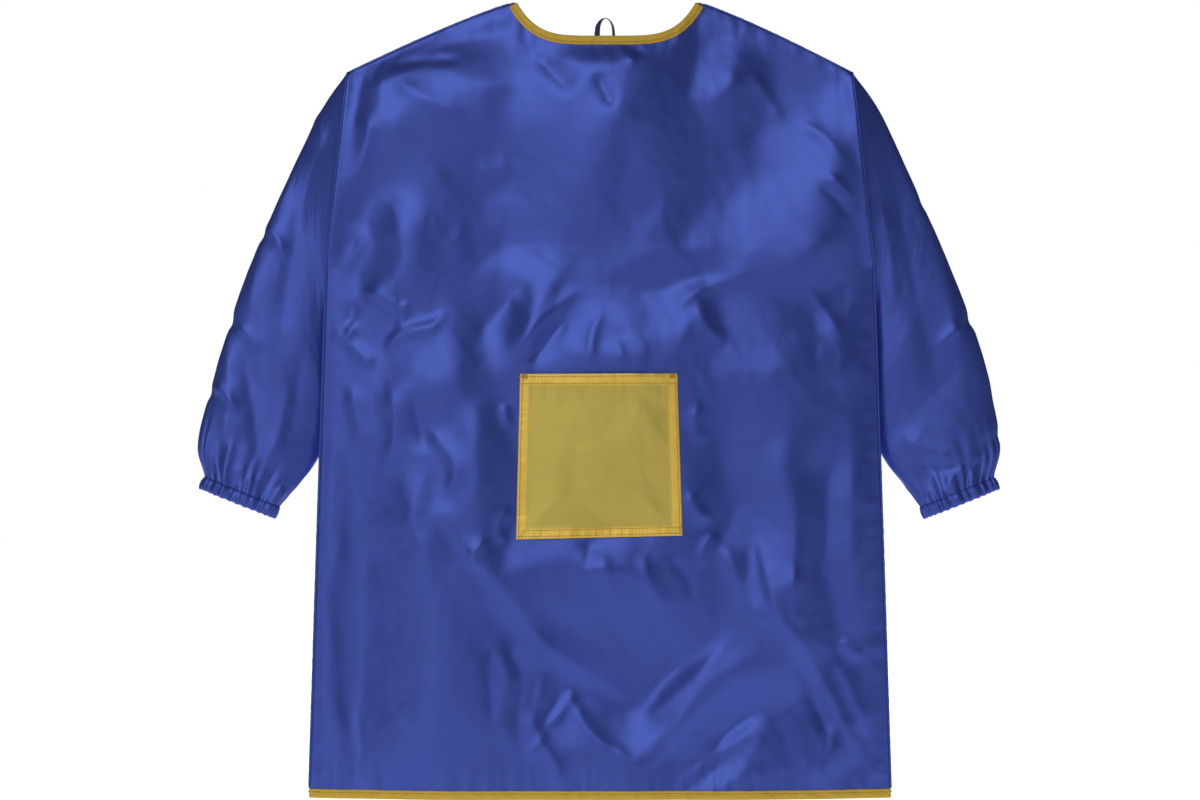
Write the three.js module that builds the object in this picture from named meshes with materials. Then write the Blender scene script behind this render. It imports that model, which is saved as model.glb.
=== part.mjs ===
// A child's painting smock, standing as it hangs: +Z up, its front towards -Y, in millimetres.
// The origin is at the middle of the neck, level with the top of the shoulder seams.

import * as THREE from "three";

// Body of the smock
const BODY_LENGTH = 700;
const HEM_HALF_WIDTH = 256;
const SHOULDER_HALF_WIDTH = 222;
const SHOULDER_DROP = 62;
const SHOULDER_CURVE = 1.15;
const ARMHOLE_DEPTH = 170;
const UNDERARM_HALF_WIDTH = 241;

// The cut neckline, and how far the neck stands open
const NECK_HALF_WIDTH = 80;
const NECK_DROP = 31.6;
const NECK_SQUARENESS = 4.6;
const NECK_OPENING_RISE = 40;

// How far the cloth stands away from the middle plane
const FRONT_DEPTH = 22;
const BACK_DEPTH = 16;
const ARMHOLE_HALF_OPENING = 10;
const DEPTH_RUN = 160;
const SIDE_CURVE = 1.7;

// The back opening: both flaps turn on upright folds, and the right one laps over the left
const FOLD_BEYOND_NECK = 15;
const FLAP_OVERLAP = 30;
const LAP_STEP_MARGIN = 2;
const LAP_STEP_RUN = 32;

// Cloth, seams and running gaps
const CLOTH = 1;
const GAP = 0.3;
const SEAM_WIDTH = 6;
const THREAD_WIDTH = 0.8;
const THREAD_HEIGHT = 0.5;

// Bias binding folded over an edge
const BINDING_WALL = 0.8;
const BINDING_REACH = 6.2;
const BINDING_STITCH_INSET = 4.4;

// Sleeves
const SLEEVE_CENTRE_DEPTH = 16;
const SLEEVE_HALF_DEPTH = 14;
const ARMHOLE_GAP = 0.6;
const SLEEVE_STEPS = 10;
const ROUND_STEPS = 12;

// Cuffs: the finished end of the sleeve, from its outer corner to its inner corner
const CUFF_OUTER_X = 351;
const CUFF_OUTER_DROP = 429;
const CUFF_INNER_X = 288;
const CUFF_INNER_DROP = 454;
const CUFF_HALF_DEPTH = 11;
const CUFF_CENTRE_DEPTH = 9;
const CASING_HEIGHT = 11;
const ELASTIC_THICKNESS = 1.6;
const ELASTIC_WIDTH = 8;

// Pocket
const POCKET_TOP_DROP = 327;
const POCKET_TOP_WIDTH = 138;
const POCKET_BOTTOM_WIDTH = 146;
const POCKET_HEIGHT = 143;
const POCKET_FULLNESS = 5;
const POCKET_MARGIN = 7;
const POCKET_EASE = 8;
const POCKET_STITCH_INSET = 4;
const POCKET_MOUTH_STITCH_DROP = 8;
const BAR_TACK_LENGTH = 6;
const BAR_TACK_HEIGHT = 2;

// Closing patches at the back of the neck
const PATCH_WIDTH = 25;
const PATCH_HEIGHT = 20;
const PATCH_THICKNESS = 0.8;
const PATCH_TOP_DROP = 42;

// Hanging loop
const LOOP_HEIGHT = 17;
const LOOP_HALF_WIDTH = 6.5;
const LOOP_TAPE_WIDTH = 5;
const LOOP_TAPE_THICKNESS = 0.9;
const LOOP_SEAT_HALF_LENGTH = 3;
const LOOP_BASE_GAP = 0.7;

// One flap lies outside the other by its cloth, both bindings and a gap
const BINDING_THICKNESS = CLOTH + 2 * GAP + 2 * BINDING_WALL;
const LAP_STEP = BINDING_THICKNESS + GAP;
const EDGE_DEPTH = LAP_STEP / 2;
const LAP_STEP_END = FLAP_OVERLAP + LAP_STEP_MARGIN;
const LAP_STEP_START = LAP_STEP_END + LAP_STEP_RUN;
const FLAP_FOLD_X = NECK_HALF_WIDTH + FOLD_BEYOND_NECK;
const BINDING_CAP = GAP + BINDING_WALL;
const FRONT = -1;
const BACK = 1;

function finish(color, roughness) {
  return new THREE.MeshStandardMaterial({ color, roughness, metalness: 0 });
}

const blueCloth = () => finish(0x34479f, 0.42);
const yellowBinding = () => finish(0xc8a233, 0.6);
const yellowCloth = () => finish(0xb9a440, 0.5);
const blueThread = () => finish(0x2a3a8c, 0.7);
const yellowThread = () => finish(0xd8b64c, 0.7);
const darkTape = () => finish(0x141c4a, 0.7);
const paleElastic = () => finish(0xd9d9d4, 0.8);
const darkPatch = () => finish(0x1b2150, 0.95);

const smock = new THREE.Group();

const mix = (a, b, share) => a + (b - a) * share;
const clamp01 = (value) => Math.min(1, Math.max(0, value));

// A closed solid swept through a list of sections, each a loop of points.
// A ring joins its last section to its first; otherwise both ends are capped.
function sweep(name, material, sections, { ring = false, profile = null } = {}) {
  const count = sections[0].length;
  const positions = sections.flat().flatMap((p) => [p.x, p.y, p.z]);
  const faces = [];
  const last = ring ? sections.length : sections.length - 1;
  for (let i = 0; i < last; i += 1) {
    const here = i * count;
    const next = ((i + 1) % sections.length) * count;
    for (let j = 0; j < count; j += 1) {
      const k = (j + 1) % count;
      faces.push([here + j, here + k, next + k], [here + j, next + k, next + j]);
    }
  }
  if (!ring) {
    const end = (sections.length - 1) * count;
    for (const [a, b, c] of profile ? profileCap(profile) : layeredCap(count)) {
      faces.push([a, c, b], [end + a, end + b, end + c]);
    }
  }
  addMesh(name, material, positions, outwardFaces(positions, faces));
}

// The cap of a loop that runs along one layer and back along the other, cut into a square per step.
function layeredCap(count) {
  const faces = [];
  for (let i = 0; i < count / 2 - 1; i += 1) {
    const opposite = count - 1 - i;
    faces.push([i, i + 1, opposite - 1], [i, opposite - 1, opposite]);
  }
  return faces;
}

// The cap of a flat profile of any outline, wound the same way as the profile.
function profileCap(profile) {
  const flat = profile.map(([x, y]) => new THREE.Vector2(x, y));
  const turned = THREE.ShapeUtils.isClockWise(flat);
  return THREE.ShapeUtils.triangulateShape(flat, []).map(([a, b, c]) => {
    const area = THREE.ShapeUtils.area([flat[a], flat[b], flat[c]]);
    return area > 0 === turned ? [a, c, b] : [a, b, c];
  });
}

// Faces point outwards where the volume that they enclose is positive.
function outwardFaces(positions, faces) {
  const at = (i) => new THREE.Vector3().fromArray(positions, i * 3);
  let volume = 0;
  for (const [a, b, c] of faces) volume += at(a).dot(at(b).clone().cross(at(c)));
  return volume > 0 ? faces : faces.map(([a, b, c]) => [a, c, b]);
}

function addMesh(name, material, positions, faces) {
  const geometry = new THREE.BufferGeometry();
  geometry.setAttribute("position", new THREE.Float32BufferAttribute(positions, 3));
  geometry.setIndex(faces.flat());
  geometry.computeVertexNormals();
  const mesh = new THREE.Mesh(geometry, material);
  mesh.name = name;
  smock.add(mesh);
}

// ---- The body's own surfaces ----

// Half the width of the body at a height.
function bodyHalfWidth(z) {
  const underarm = -(SHOULDER_DROP + ARMHOLE_DEPTH);
  if (z > underarm) {
    const share = (-z - SHOULDER_DROP) / ARMHOLE_DEPTH;
    return mix(SHOULDER_HALF_WIDTH, UNDERARM_HALF_WIDTH, Math.max(0, share));
  }
  return mix(UNDERARM_HALF_WIDTH, HEM_HALF_WIDTH, (underarm - z) / (BODY_LENGTH + underarm));
}

// Height of the shoulder seam, or of the cut neckline between the two shoulders.
function topEdge(x) {
  const out = Math.abs(x);
  if (out < NECK_HALF_WIDTH) return -NECK_DROP * (1 - (out / NECK_HALF_WIDTH) ** NECK_SQUARENESS);
  const share = (out - NECK_HALF_WIDTH) / (SHOULDER_HALF_WIDTH - NECK_HALF_WIDTH);
  return -SHOULDER_DROP * share ** SHOULDER_CURVE;
}

// Height where the front and the back would meet: the shoulder seam, carried on above the neckline.
function meetingHeight(x) {
  const out = Math.abs(x);
  return out < NECK_HALF_WIDTH ? NECK_OPENING_RISE * (1 - (out / NECK_HALF_WIDTH) ** 2) : topEdge(x);
}

// How far the armhole stands open at a height, from 0 at its two ends to 1 halfway.
function armholeShare(z) {
  const share = clamp01((-z - SHOULDER_DROP) / ARMHOLE_DEPTH);
  return 2 * Math.sqrt(share * (1 - share));
}

// Depth of the front or back cloth's middle layer.
function clothY(side, x, z) {
  const depth = side === FRONT ? FRONT_DEPTH : BACK_DEPTH;
  const run = clamp01((meetingHeight(x) - z) / DEPTH_RUN);
  const across = clamp01((Math.abs(x) - FLAP_FOLD_X) / (bodyHalfWidth(z) - FLAP_FOLD_X));
  const fullness = Math.sin((run * Math.PI) / 2) * (1 - across ** SIDE_CURVE);
  return side * (EDGE_DEPTH + depth * fullness + ARMHOLE_HALF_OPENING * across ** 2 * armholeShare(z));
}

// The left flap steps in to pass under the right one.
function flapY(x, z, isInner) {
  const towardsLap = clamp01((LAP_STEP_START - Math.abs(x)) / (LAP_STEP_START - LAP_STEP_END));
  const step = isInner ? LAP_STEP * (x > -LAP_STEP_END ? 1 : towardsLap) : 0;
  return clothY(BACK, x, z) - step;
}

const CUT_HEM = -(BODY_LENGTH - BINDING_CAP);

// Rows run from the top edge to the cut hem, with extra ones along the armhole.
function rowShares() {
  const armholeRows = [];
  for (let i = 0; i <= ROUND_STEPS / 2; i += 1) {
    armholeRows.push((ARMHOLE_DEPTH * (1 - Math.cos((2 * Math.PI * i) / ROUND_STEPS))) / 2);
  }
  const below = BODY_LENGTH - BINDING_CAP - SHOULDER_DROP - ARMHOLE_DEPTH;
  for (const share of [0.2, 0.45, 0.7, 1]) armholeRows.push(ARMHOLE_DEPTH + below * share);
  return armholeRows.map((drop) => drop / (ARMHOLE_DEPTH + below));
}

const ROWS = rowShares();
const NECK_COLUMN_SHARES = [0, 0.4, 0.6, 0.7, 0.76, 0.82, 0.87, 0.92, 0.965, 1];
const NECK_COLUMNS = NECK_COLUMN_SHARES.map((share) => share * NECK_HALF_WIDTH);
const SIDE_COLUMN_SHARES = [0.3, 0.55, 0.8, 1];

// A panel of cloth over columns of x, where a share past the fold runs out to the side seam.
function panel(name, columns, surfaceY) {
  const sections = ROWS.map((share) => {
    const middle = columns.map((column) => {
      const topX = column.share === undefined ? column.x : columnX(column, topZ(column));
      const z = mix(topEdge(topX), CUT_HEM, share);
      const x = columnX(column, z);
      return new THREE.Vector3(x, surfaceY(x, z), z);
    });
    const inside = middle.map((p) => p.clone().setY(p.y - CLOTH / 2));
    const outside = middle.map((p) => p.clone().setY(p.y + CLOTH / 2));
    return [...inside, ...outside.reverse()];
  });
  sweep(name, blueCloth(), sections);
}

// Where a side column meets the shoulder seam.
function topZ(column) {
  const x = column.hand * mix(FLAP_FOLD_X, SHOULDER_HALF_WIDTH, column.share);
  return topEdge(x);
}

function columnX(column, z) {
  if (column.share === undefined) return column.x;
  return column.hand * mix(FLAP_FOLD_X, bodyHalfWidth(z), column.share);
}

const sideColumns = (hand) => SIDE_COLUMN_SHARES.map((share) => ({ hand, share }));
const plainColumns = (list) => list.map((x) => ({ x }));

// ---- Bindings and the threads on them ----

// The folded section: a slot of cloth and two gaps between two walls, closed over the cut edge.
function bindingProfile() {
  const outer = BINDING_THICKNESS / 2;
  const inner = outer - BINDING_WALL;
  return [
    [-BINDING_CAP, -outer],
    [BINDING_REACH, -outer],
    [BINDING_REACH, -inner],
    [-GAP, -inner],
    [-GAP, inner],
    [BINDING_REACH, inner],
    [BINDING_REACH, outer],
    [-BINDING_CAP, outer],
  ];
}

// A flat thread that lies on the face of a binding.
function threadProfile(side) {
  const face = side * (BINDING_THICKNESS / 2 + GAP);
  const top = face + side * THREAD_HEIGHT;
  const inset = BINDING_STITCH_INSET;
  return [
    [inset, face],
    [inset + THREAD_WIDTH, face],
    [inset + THREAD_WIDTH, top],
    [inset, top],
  ];
}

// Sweeps a profile along an edge of the cloth. Profiles are in (distance into the cloth, depth).
function alongEdge(name, material, profile, edge, surfaceY) {
  const sections = edge.map(({ x, z, inX, inZ }) =>
    profile.map(([inward, depth]) => {
      const px = x + inX * inward;
      const pz = z + inZ * inward;
      const sx = x + inX * Math.max(0, inward);
      const sz = z + inZ * Math.max(0, inward);
      return new THREE.Vector3(px, surfaceY(sx, sz) + depth, pz);
    }),
  );
  sweep(name, material, sections, { profile });
}

// Stations along the cut neckline, at the columns of the cloth, with the direction into the cloth.
function neckEdge(xs) {
  return xs.map((x) => {
    const step = 0.01;
    const from = Math.max(-NECK_HALF_WIDTH, x - step);
    const to = Math.min(NECK_HALF_WIDTH, x + step);
    const along = new THREE.Vector2(to - from, topEdge(to) - topEdge(from)).normalize();
    return { x, z: topEdge(x), inX: along.y, inZ: -along.x };
  });
}

const hemEdge = (xs) => xs.map((x) => ({ x, z: CUT_HEM, inX: 0, inZ: 1 }));

// ---- Build the body ----

const frontY = (x, z) => clothY(FRONT, x, z);
const backY = (x, z) => clothY(BACK, x, z);
const negated = (list) => list.map((x) => -x);
const HEM_END_X = bodyHalfWidth(CUT_HEM);
const hemSideXs = SIDE_COLUMN_SHARES.map((share) => mix(FLAP_FOLD_X, HEM_END_X, share));

function buildFront() {
  const inner = [...NECK_COLUMNS, FLAP_FOLD_X];
  const columns = [
    ...sideColumns(-1).reverse(),
    ...plainColumns(negated(inner.slice(1)).reverse()),
    ...plainColumns(inner),
    ...sideColumns(1),
  ];
  panel("front_panel", columns, frontY);
  const neckXs = [...negated(NECK_COLUMNS.slice(1)).reverse(), ...NECK_COLUMNS];
  const hemXs = [...negated(hemSideXs).reverse(), -FLAP_FOLD_X, 0, FLAP_FOLD_X, ...hemSideXs];
  const neck = neckEdge(neckXs);
  const hem = hemEdge(hemXs);
  alongEdge("front_neck_binding", yellowBinding(), bindingProfile(), neck, frontY);
  alongEdge("front_hem_binding", yellowBinding(), bindingProfile(), hem, frontY);
  alongEdge("neck_binding_thread", yellowThread(), threadProfile(FRONT), neck, frontY);
  alongEdge("hem_binding_thread", yellowThread(), threadProfile(FRONT), hem, frontY);
}

// The fixed outer part of a back, from the side seam in to the fold.
function buildBackSide(hand, label) {
  const foldX = hand * (FLAP_FOLD_X + GAP / 2);
  panel(`back_panel_${label}`, [{ x: foldX }, ...sideColumns(hand)], backY);
  const hemXs = [foldX, ...hemSideXs.map((x) => hand * x)];
  alongEdge(`back_hem_binding_${label}`, yellowBinding(), bindingProfile(), hemEdge(hemXs), backY);
}

// Columns of a flap, from the neck in to its free edge, with one at each bend and patch edge.
function flapColumns() {
  const outer = [...NECK_COLUMNS, LAP_STEP_START].filter((x) => x > LAP_STEP_END);
  const half = PATCH_WIDTH / 2;
  return [...new Set(outer), LAP_STEP_END, half, 0, -half, -FLAP_OVERLAP].sort((a, b) => b - a);
}

// The part of a back that swings open, from the fold past the middle.
function buildFlap(hand, label) {
  const isInner = hand < 0;
  const surface = (x, z) => flapY(x, z, isInner);
  const foldX = FLAP_FOLD_X - GAP / 2;
  const across = [foldX, ...flapColumns()].map((x) => x * hand);
  panel(`back_flap_${label}`, plainColumns(across), surface);
  const neck = neckEdge(across.slice(1));
  const hem = hemEdge([foldX, LAP_STEP_START, LAP_STEP_END, -FLAP_OVERLAP].map((x) => x * hand));
  alongEdge(`back_neck_binding_${label}`, yellowBinding(), bindingProfile(), neck, surface);
  alongEdge(`flap_hem_binding_${label}`, yellowBinding(), bindingProfile(), hem, surface);
  buildEdgeThread(hand, label, surface);
}

// The row of stitches that holds the turned edge of a flap.
function buildEdgeThread(hand, label, surface) {
  const x = -hand * (FLAP_OVERLAP - POCKET_EASE);
  const stations = ROWS.map((share) => mix(topEdge(x), CUT_HEM, share)).slice(1, -1);
  const side = isOuterHand(hand) ? BACK : FRONT;
  const sections = stations.map((z) => {
    const face = surface(x, z) + side * (CLOTH / 2 + GAP);
    return [
      new THREE.Vector3(x, face, z),
      new THREE.Vector3(x + THREAD_WIDTH, face, z),
      new THREE.Vector3(x + THREAD_WIDTH, face + side * THREAD_HEIGHT, z),
      new THREE.Vector3(x, face + side * THREAD_HEIGHT, z),
    ];
  });
  sweep(`back_edge_thread_${label}`, blueThread(), sections);
}

const isOuterHand = (hand) => hand > 0;

// ---- Seams, inside the body where the front meets the back ----

const SEAM_HALF_THICKNESS = EDGE_DEPTH - CLOTH / 2 - GAP;

function seamStrip(name, stations) {
  const half = SEAM_HALF_THICKNESS;
  const sections = stations.map(({ near, far }) => [
    new THREE.Vector3(near.x, -half, near.z),
    new THREE.Vector3(near.x, half, near.z),
    new THREE.Vector3(far.x, half, far.z),
    new THREE.Vector3(far.x, -half, far.z),
  ]);
  sweep(name, blueThread(), sections);
}

function buildSeams(hand, label) {
  const shoulder = [0.02, 0.3, 0.55, 0.8, 0.97].map((share) => {
    const x = hand * mix(FLAP_FOLD_X, SHOULDER_HALF_WIDTH, share);
    const z = topEdge(x) - CLOTH;
    return { near: { x, z }, far: { x, z: z - SEAM_WIDTH } };
  });
  seamStrip(`shoulder_seam_${label}`, shoulder);
  const top = -(SHOULDER_DROP + ARMHOLE_DEPTH + SEAM_WIDTH);
  const bottom = CUT_HEM + BINDING_REACH + CLOTH;
  const side = [top, bottom].map((z) => {
    const x = hand * (bodyHalfWidth(z) - CLOTH);
    return { near: { x, z }, far: { x: x - hand * SEAM_WIDTH, z } };
  });
  seamStrip(`side_seam_${label}`, side);
  buildArmholeSeam(hand, label);
}

// A flat ring just inside the armhole, where the sleeve is sewn in.
function buildArmholeSeam(hand, label) {
  const halfHeight = ARMHOLE_DEPTH / 2 - SEAM_WIDTH;
  const halfDepth = EDGE_DEPTH + ARMHOLE_HALF_OPENING - CLOTH - GAP;
  const middleZ = -(SHOULDER_DROP + ARMHOLE_DEPTH / 2);
  const thickness = CLOTH;
  const sections = [];
  for (let i = 0; i < ROUND_STEPS; i += 1) {
    const angle = (2 * Math.PI * i) / ROUND_STEPS;
    const corner = (inset, inboard) => {
      const z = middleZ + (halfHeight - inset) * Math.cos(angle);
      const x = hand * (bodyHalfWidth(z) - inboard);
      return new THREE.Vector3(x, (halfDepth - inset) * Math.sin(angle), z);
    };
    sections.push([
      corner(0, CLOTH),
      corner(0, SEAM_WIDTH),
      corner(thickness, SEAM_WIDTH),
      corner(thickness, CLOTH),
    ]);
  }
  sweep(`armhole_seam_${label}`, blueThread(), sections, { ring: true });
}

// ---- Sleeves ----

const UNDERARM_DROP = SHOULDER_DROP + ARMHOLE_DEPTH;

// The two creases of the flat-hanging sleeve, as distances out from the middle and down.
function sleeveCreases() {
  const cuff = cuffFrame();
  const topOuter = new THREE.Vector2(SHOULDER_HALF_WIDTH + ARMHOLE_GAP, -SHOULDER_DROP);
  const topInner = new THREE.Vector2(UNDERARM_HALF_WIDTH + ARMHOLE_GAP, -UNDERARM_DROP);
  const outer = new THREE.SplineCurve([
    topOuter,
    topOuter.clone().add(new THREE.Vector2(27, -39)),
    topOuter.clone().add(new THREE.Vector2(64, -121)),
    topOuter.clone().add(new THREE.Vector2(102, -213)),
    cuff.outer.clone().add(new THREE.Vector2(5, 42)),
    cuff.outer,
  ]);
  const inner = new THREE.SplineCurve([
    topInner,
    topInner.clone().add(new THREE.Vector2(2.5, -20)),
    topInner.clone().add(new THREE.Vector2(0, -68)),
    topInner.clone().add(new THREE.Vector2(0.5, -120)),
    cuff.inner.clone().add(new THREE.Vector2(-36, 46)),
    cuff.inner,
  ]);
  return { outer, inner };
}

// The line where the sleeve's cloth meets the casing, and the way down along the sleeve.
function cuffFrame() {
  const endOuter = new THREE.Vector2(CUFF_OUTER_X, -CUFF_OUTER_DROP);
  const endInner = new THREE.Vector2(CUFF_INNER_X, -CUFF_INNER_DROP);
  const across = endOuter.clone().sub(endInner);
  const halfWidth = across.length() / 2;
  across.normalize();
  const down = new THREE.Vector2(across.y, -across.x);
  const lift = down.clone().multiplyScalar(-CASING_HEIGHT);
  return {
    outer: endOuter.clone().add(lift),
    inner: endInner.clone().add(lift),
    across,
    down,
    halfWidth,
  };
}

// Depth of the sleeve's middle and half its thickness, along its length from 0 to 1.
function sleeveDepth(share) {
  const out = Math.sin((Math.PI / 2) * clamp01(share / 0.3));
  const towardsCuff = clamp01((share - 0.7) / 0.3);
  const centre = mix(SLEEVE_CENTRE_DEPTH * out, CUFF_CENTRE_DEPTH, towardsCuff);
  const armhole = EDGE_DEPTH + ARMHOLE_HALF_OPENING;
  const upper = mix(armhole, SLEEVE_HALF_DEPTH, clamp01(share / 0.5));
  const half = mix(upper, CUFF_HALF_DEPTH, clamp01((share - 0.5) / 0.5));
  return { centre, half };
}

function buildSleeve(hand, label) {
  const { outer, inner } = sleeveCreases();
  const rings = [];
  for (let i = 0; i <= SLEEVE_STEPS; i += 1) {
    const share = i / SLEEVE_STEPS;
    rings.push({ a: outer.getPointAt(share), b: inner.getPointAt(share), ...sleeveDepth(share) });
  }
  const sections = [];
  for (let j = 0; j < ROUND_STEPS; j += 1) {
    const angle = (2 * Math.PI * j) / ROUND_STEPS;
    const wall = (inset) => rings.map((ring) => sleevePoint(ring, angle, inset, hand));
    sections.push([...wall(0), ...wall(CLOTH).reverse()]);
  }
  sweep(`sleeve_${label}`, blueCloth(), sections, { ring: true });
}

function sleevePoint({ a, b, centre, half }, angle, inset, hand) {
  const middle = a.clone().add(b).multiplyScalar(0.5);
  const reach = a.clone().sub(b).multiplyScalar(0.5);
  const width = reach.length();
  const along = ((width - 1.5 * inset) / width) * Math.cos(angle);
  const depth = centre - (half - inset) * Math.sin(angle);
  return new THREE.Vector3(hand * (middle.x + reach.x * along), depth, middle.y + reach.y * along);
}

// A ring at the cuff. The profile is in (distance in from the cuff's outside, distance down).
function cuffRing(name, material, profile, hand) {
  const { outer, inner, across, down, halfWidth } = cuffFrame();
  const middle = outer.clone().add(inner).multiplyScalar(0.5);
  const sections = [];
  for (let j = 0; j < ROUND_STEPS; j += 1) {
    const angle = (2 * Math.PI * j) / ROUND_STEPS;
    sections.push(
      profile.map(([inset, drop]) => {
        const along = (halfWidth - inset) * Math.cos(angle);
        const x = middle.x + across.x * along + down.x * drop;
        const z = middle.y + across.y * along + down.y * drop;
        const y = CUFF_CENTRE_DEPTH - (CUFF_HALF_DEPTH - inset) * Math.sin(angle);
        return new THREE.Vector3(hand * x, y, z);
      }),
    );
  }
  sweep(name, material, sections, { ring: true });
}

// The casing is a turned hem: two walls with the elastic between them, joined below.
function buildCuff(hand, label) {
  const wall = BINDING_WALL;
  const top = GAP;
  const bottom = CASING_HEIGHT;
  const room = ELASTIC_THICKNESS + 2 * GAP;
  const inside = 2 * wall + room;
  const casing = [
    [0, top],
    [0, bottom],
    [inside, bottom],
    [inside, top],
    [wall + room, top],
    [wall + room, bottom - wall],
    [wall, bottom - wall],
    [wall, top],
  ];
  cuffRing(`cuff_casing_${label}`, blueCloth(), casing, hand);
  const near = wall + GAP;
  const low = bottom - wall - GAP;
  const elastic = [
    [near, low - ELASTIC_WIDTH],
    [near, low],
    [near + ELASTIC_THICKNESS, low],
    [near + ELASTIC_THICKNESS, low - ELASTIC_WIDTH],
  ];
  cuffRing(`cuff_elastic_${label}`, paleElastic(), elastic, hand);
  const thread = [
    [-GAP - THREAD_HEIGHT, top + CLOTH],
    [-GAP - THREAD_HEIGHT, top + CLOTH + THREAD_WIDTH],
    [-GAP, top + CLOTH + THREAD_WIDTH],
    [-GAP, top + CLOTH],
  ];
  cuffRing(`cuff_thread_${label}`, blueThread(), thread, hand);
}

// ---- Pocket, on the flat middle of the front ----

const PANEL_FACE = -(EDGE_DEPTH + FRONT_DEPTH + CLOTH / 2);

const pocketHalfWidth = (drop) => mix(POCKET_TOP_WIDTH, POCKET_BOTTOM_WIDTH, drop / POCKET_HEIGHT) / 2;

// How far the pocket stands off the panel, from 0 on its sewn margin to 1 in the middle.
function pocketShare(x, drop) {
  const fromSide = pocketHalfWidth(drop) - Math.abs(x);
  const fromBottom = POCKET_HEIGHT - drop;
  return clamp01((Math.min(fromSide, fromBottom) - POCKET_MARGIN) / POCKET_EASE);
}

// Inner face of the pocket cloth.
const pocketY = (x, drop) => PANEL_FACE - GAP - POCKET_FULLNESS * pocketShare(x, drop);

function buildPocket() {
  const insets = [0, POCKET_MARGIN, POCKET_MARGIN + POCKET_EASE];
  const drops = [0, POCKET_HEIGHT / 2, ...[...insets].reverse().map((inset) => POCKET_HEIGHT - inset)];
  const sections = drops.map((drop) => {
    const half = pocketHalfWidth(drop);
    const left = insets.map((inset) => inset - half);
    const xs = [...left, ...negated(left).reverse()];
    const point = (x, y) => new THREE.Vector3(x, y, -(POCKET_TOP_DROP + drop));
    const inner = xs.map((x) => point(x, pocketY(x, drop)));
    const outer = xs.map((x) => point(x, pocketY(x, drop) - CLOTH));
    return [...inner, ...outer.reverse()];
  });
  sweep("pocket_panel", yellowCloth(), sections);
  buildPocketThread();
  buildMouthThread();
}

// One line of stitches down a side, along the bottom and up the other side.
function buildPocketThread() {
  const face = PANEL_FACE - 2 * GAP - CLOTH;
  const low = POCKET_HEIGHT - POCKET_STITCH_INSET;
  const high = POCKET_MOUTH_STITCH_DROP + BAR_TACK_HEIGHT;
  const corners = [
    { hand: -1, drop: high, inZ: 0 },
    { hand: -1, drop: low, inZ: 1 },
    { hand: 1, drop: low, inZ: 1 },
    { hand: 1, drop: high, inZ: 0 },
  ];
  const sections = corners.map(({ hand, drop, inZ }) => {
    const x = hand * (pocketHalfWidth(drop) - POCKET_STITCH_INSET);
    const z = -(POCKET_TOP_DROP + drop);
    const nearX = x - hand * THREAD_WIDTH;
    const nearZ = z + inZ * THREAD_WIDTH;
    return [
      new THREE.Vector3(x, face, z),
      new THREE.Vector3(nearX, face, nearZ),
      new THREE.Vector3(nearX, face - THREAD_HEIGHT, nearZ),
      new THREE.Vector3(x, face - THREAD_HEIGHT, z),
    ];
  });
  sweep("pocket_thread", yellowThread(), sections);
}

// The stitches across the turned mouth hem, and a bar tack at each of its ends.
function buildMouthThread() {
  const half = pocketHalfWidth(POCKET_MOUTH_STITCH_DROP);
  const z = -(POCKET_TOP_DROP + POCKET_MOUTH_STITCH_DROP);
  const tackEnd = half - POCKET_STITCH_INSET + BAR_TACK_LENGTH / 2;
  const tackStart = half - POCKET_STITCH_INSET - BAR_TACK_LENGTH / 2;
  const bends = [tackStart - GAP - THREAD_WIDTH, half - POCKET_MARGIN - POCKET_EASE];
  const xs = [-bends[0], -bends[1], bends[1], bends[0]];
  const sections = xs.map((x) => {
    const face = pocketY(x, POCKET_MOUTH_STITCH_DROP) - CLOTH - GAP;
    return [
      new THREE.Vector3(x, face, z),
      new THREE.Vector3(x, face, z - THREAD_WIDTH),
      new THREE.Vector3(x, face - THREAD_HEIGHT, z - THREAD_WIDTH),
      new THREE.Vector3(x, face - THREAD_HEIGHT, z),
    ];
  });
  sweep("pocket_mouth_thread", yellowThread(), sections);
  for (const [hand, label] of [[-1, "left"], [1, "right"]]) {
    const tack = [tackStart, half - POCKET_MARGIN, tackEnd].map((x) => {
      const face = pocketY(x, POCKET_MOUTH_STITCH_DROP) - CLOTH - GAP;
      const top = z + BAR_TACK_HEIGHT;
      return [
        new THREE.Vector3(hand * x, face, top),
        new THREE.Vector3(hand * x, face, z),
        new THREE.Vector3(hand * x, face - THREAD_HEIGHT, z),
        new THREE.Vector3(hand * x, face - THREAD_HEIGHT, top),
      ];
    });
    sweep(`bar_tack_${label}`, yellowThread(), tack);
  }
}

// ---- Closing patches, one on each flap where they lap ----

function buildPatch(name, side, isInner) {
  const half = PATCH_WIDTH / 2;
  const drops = [0, 0.5, 1].map((share) => PATCH_TOP_DROP + share * PATCH_HEIGHT);
  const sections = drops.map((drop) => {
    const point = (x, lift) => {
      const face = flapY(x, -drop, isInner) + side * (CLOTH / 2 + GAP + lift);
      return new THREE.Vector3(x, face, -drop);
    };
    const near = [-half, 0, half].map((x) => point(x, 0));
    const far = [half, 0, -half].map((x) => point(x, PATCH_THICKNESS));
    return [...near, ...far];
  });
  sweep(name, darkPatch(), sections);
}

// ---- Hanging loop: its legs lie flat against the binding and the tape turns edge-on over the top ----

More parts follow.
